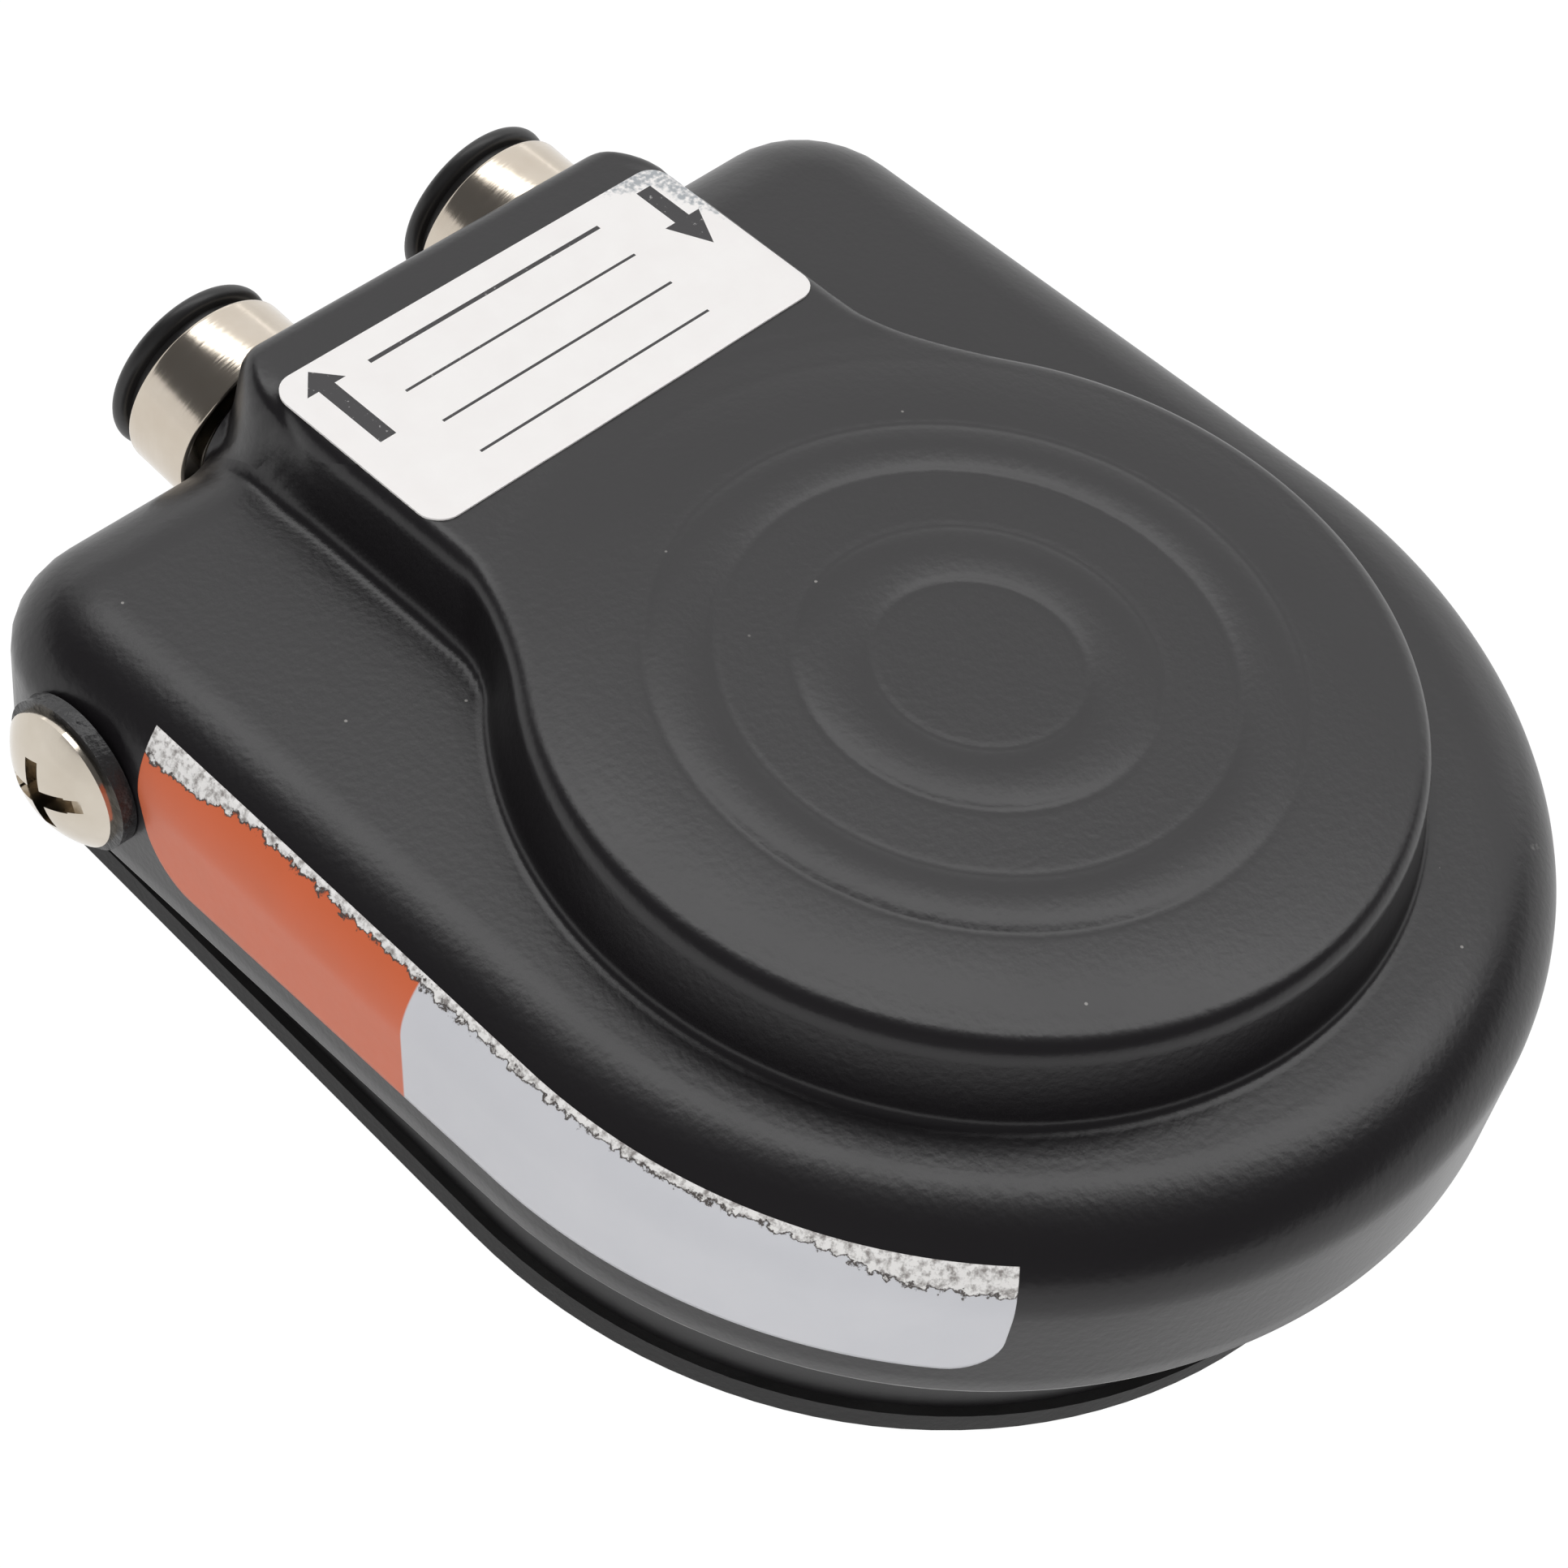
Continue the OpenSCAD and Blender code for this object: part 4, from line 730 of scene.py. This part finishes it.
for side, port in ((1, "inlet"), (-1, "outlet")):
    piece(port + "_fitting_body", [fitting(side)], "base", FINISHES["nickel_brass"],
          [port + "_fitting"])
    piece(port + "_release_collet", [collet(side)], port + "_release", FINISHES["collet_acetal"],
          [port + "_collet"])


# Springs


def coil(mean_r, wire_r, foot, head, turns, slope, x, y):
    """A round wire carried along a helix with one closed turn at each end; slope tips the head towards +Y."""
    steps, sides = 40, 12
    turn = np.linspace(0, turns, steps * turns + 1)
    span = head - foot - 2 * wire_r
    closed = 2 * wire_r
    free = (span - 2 * closed) / (turns - 2)
    mid = np.where(turn < 1, turn * closed, np.where(turn > turns - 1, span - (turns - turn) * closed,
                                                     closed + (turn - 1) * free))
    ends = np.concatenate([[0.0], np.ones(len(turn)), [0.0]])[:, None] * wire_r
    turn, mid = (np.concatenate([v[:1], v, v[-1:]])[:, None] for v in (turn, mid))
    a = 2 * np.pi * turn
    b = 2 * np.pi * np.arange(sides) / sides
    r = mean_r + ends * np.cos(b)
    rise = wire_r + mid + ends * np.sin(b)
    py = r * np.sin(a)
    z = foot + rise * (1 - slope * py / (head - foot))
    grid = np.stack([x + r * np.cos(a), y + py, z], axis=-1)
    return patch(grid, wrap=True, first_pole=True, last_pole=True)


spring = piece("return_spring_coil", [coil(4.2, 0.45, 4.2, 24.494, 8, math.tan(REST_TILT), 0, 0)], "base",
               FINISHES["spring_steel"], ["pedal_return_spring"])
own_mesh(spring)
spring = piece("poppet_spring_coil", [coil(2.6, 0.25, 4.4, 8.75, 5, 0.0, 0, 13.0)], "base",
               FINISHES["spring_steel"], ["poppet_spring"])
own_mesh(spring)


# Camera, light and floor
LAMP_AIM = Vector((0, 0.005, 0.02))


def stage_floor():
    """A floor turned about Z that curves up into a low wall; near white where seen, it keeps a shadow."""
    mesh = bpy.data.meshes.new("studio_floor")
    far, cove_r, wall_top, near = 4.0, 0.6, 1.3, 0.5
    glow_share, glow_strength = 0.92, 1.06
    bend = np.radians(np.linspace(90, 0, 10))
    cove = np.stack([far - cove_r + cove_r * np.sin(bend), cove_r - cove_r * np.cos(bend)], axis=-1)
    grid = turned(np.concatenate([[[far, wall_top]], cove, [[near, 0.0], [0.0, 0.0]]]))
    quads, fans = grid_faces(*grid.shape[:2], True, False, True)
    mesh.from_pydata(grid.reshape(-1, 3).tolist(), [], quads.tolist() + fans.tolist())
    made = bpy.data.objects.new("studio_floor", mesh)
    SCENE.collection.objects.link(made)
    paper = bpy.data.materials.new("white_paper_floor")
    paper.use_nodes = True
    tree = paper.node_tree
    tree.nodes.clear()
    path = add(tree, "LightPath")
    seen = add(tree, "Math", {"operation": "MAXIMUM"},
               {0: path.outputs["Is Camera Ray"], 1: path.outputs["Is Glossy Ray"]})
    seen = add(tree, "Math", {"operation": "MAXIMUM"},
               {0: seen.outputs[0], 1: path.outputs["Is Transmission Ray"]})
    share = add(tree, "Math", {"operation": "MULTIPLY", 1: glow_share}, {0: seen.outputs[0]})
    matt = add(tree, "BsdfDiffuse", {"Color": linear("#F2F2F2")})
    glow = add(tree, "Emission", {"Color": (1, 1, 1, 1), "Strength": glow_strength})
    mix = add(tree, "MixShader", {}, {0: share.outputs[0], 1: matt.outputs[0], 2: glow.outputs[0]})
    add(tree, "OutputMaterial", {}, {"Surface": mix.outputs[0]})
    mesh.materials.append(paper)


def studio_camera():
    """The photograph's camera: its place, axes and lens, solved from the pad's rings and the cover's edges."""
    lens = bpy.data.cameras.new("photo_camera")
    lens.sensor_width = 36.0
    lens.sensor_fit = "HORIZONTAL"
    lens.lens = 78.603
    made = bpy.data.objects.new("photo_camera", lens)
    place = Vector((-0.1142405, -0.0540084, 0.1734834))
    right = Vector((0.68074771, -0.70649797, 0.19350237))
    down = Vector((-0.50264261, -0.64268364, -0.57819386))
    ahead = Vector((0.5328536, 0.29634162, -0.7926214))
    turn = Matrix((right, -down, -ahead)).transposed()
    made.matrix_world = Matrix.Translation(place) @ turn.to_4x4()
    SCENE.collection.objects.link(made)
    SCENE.camera = made


def softbox(name, azimuth, elevation, distance, width, height, radiance, mirrored=True):
    """A rectangular lamp aimed at the object from a direction in degrees; sizes in metres, stated radiance."""
    lamp = bpy.data.lights.new(name, "AREA")
    lamp.shape = "RECTANGLE"
    lamp.size, lamp.size_y = width, height
    lamp.energy = radiance * math.pi * width * height
    made = bpy.data.objects.new(name, lamp)
    a, e = math.radians(azimuth), math.radians(elevation)
    away = Vector((math.cos(e) * math.cos(a), math.cos(e) * math.sin(a), math.sin(e)))
    made.location = away * distance + LAMP_AIM
    made.rotation_euler = away.to_track_quat("Z", "Y").to_euler()
    made.visible_glossy = mirrored
    SCENE.collection.objects.link(made)


def studio_world():
    """Dim even surroundings."""
    world = bpy.data.worlds.new("dim_studio")
    world.use_nodes = True
    tree = world.node_tree
    tree.nodes.clear()
    back = add(tree, "Background", {"Color": (0.9, 0.9, 0.92, 1), "Strength": 0.13})
    add(tree, "OutputWorld", {}, {"Surface": back.outputs[0]})
    SCENE.world = world


stage_floor()
studio_camera()
studio_world()
# Direction as azimuth and elevation, then distance, width, height and radiance
softbox("far_softbox", 34, 63, 0.7, 1.0, 0.24, 3.3)
softbox("rear_softbox", 38, 33, 0.7, 1.4, 0.48, 0.95)
softbox("fill_softbox", -150, 42, 0.7, 0.6, 0.6, 2.7, mirrored=False)
SCENE.view_settings.view_transform = "Standard"
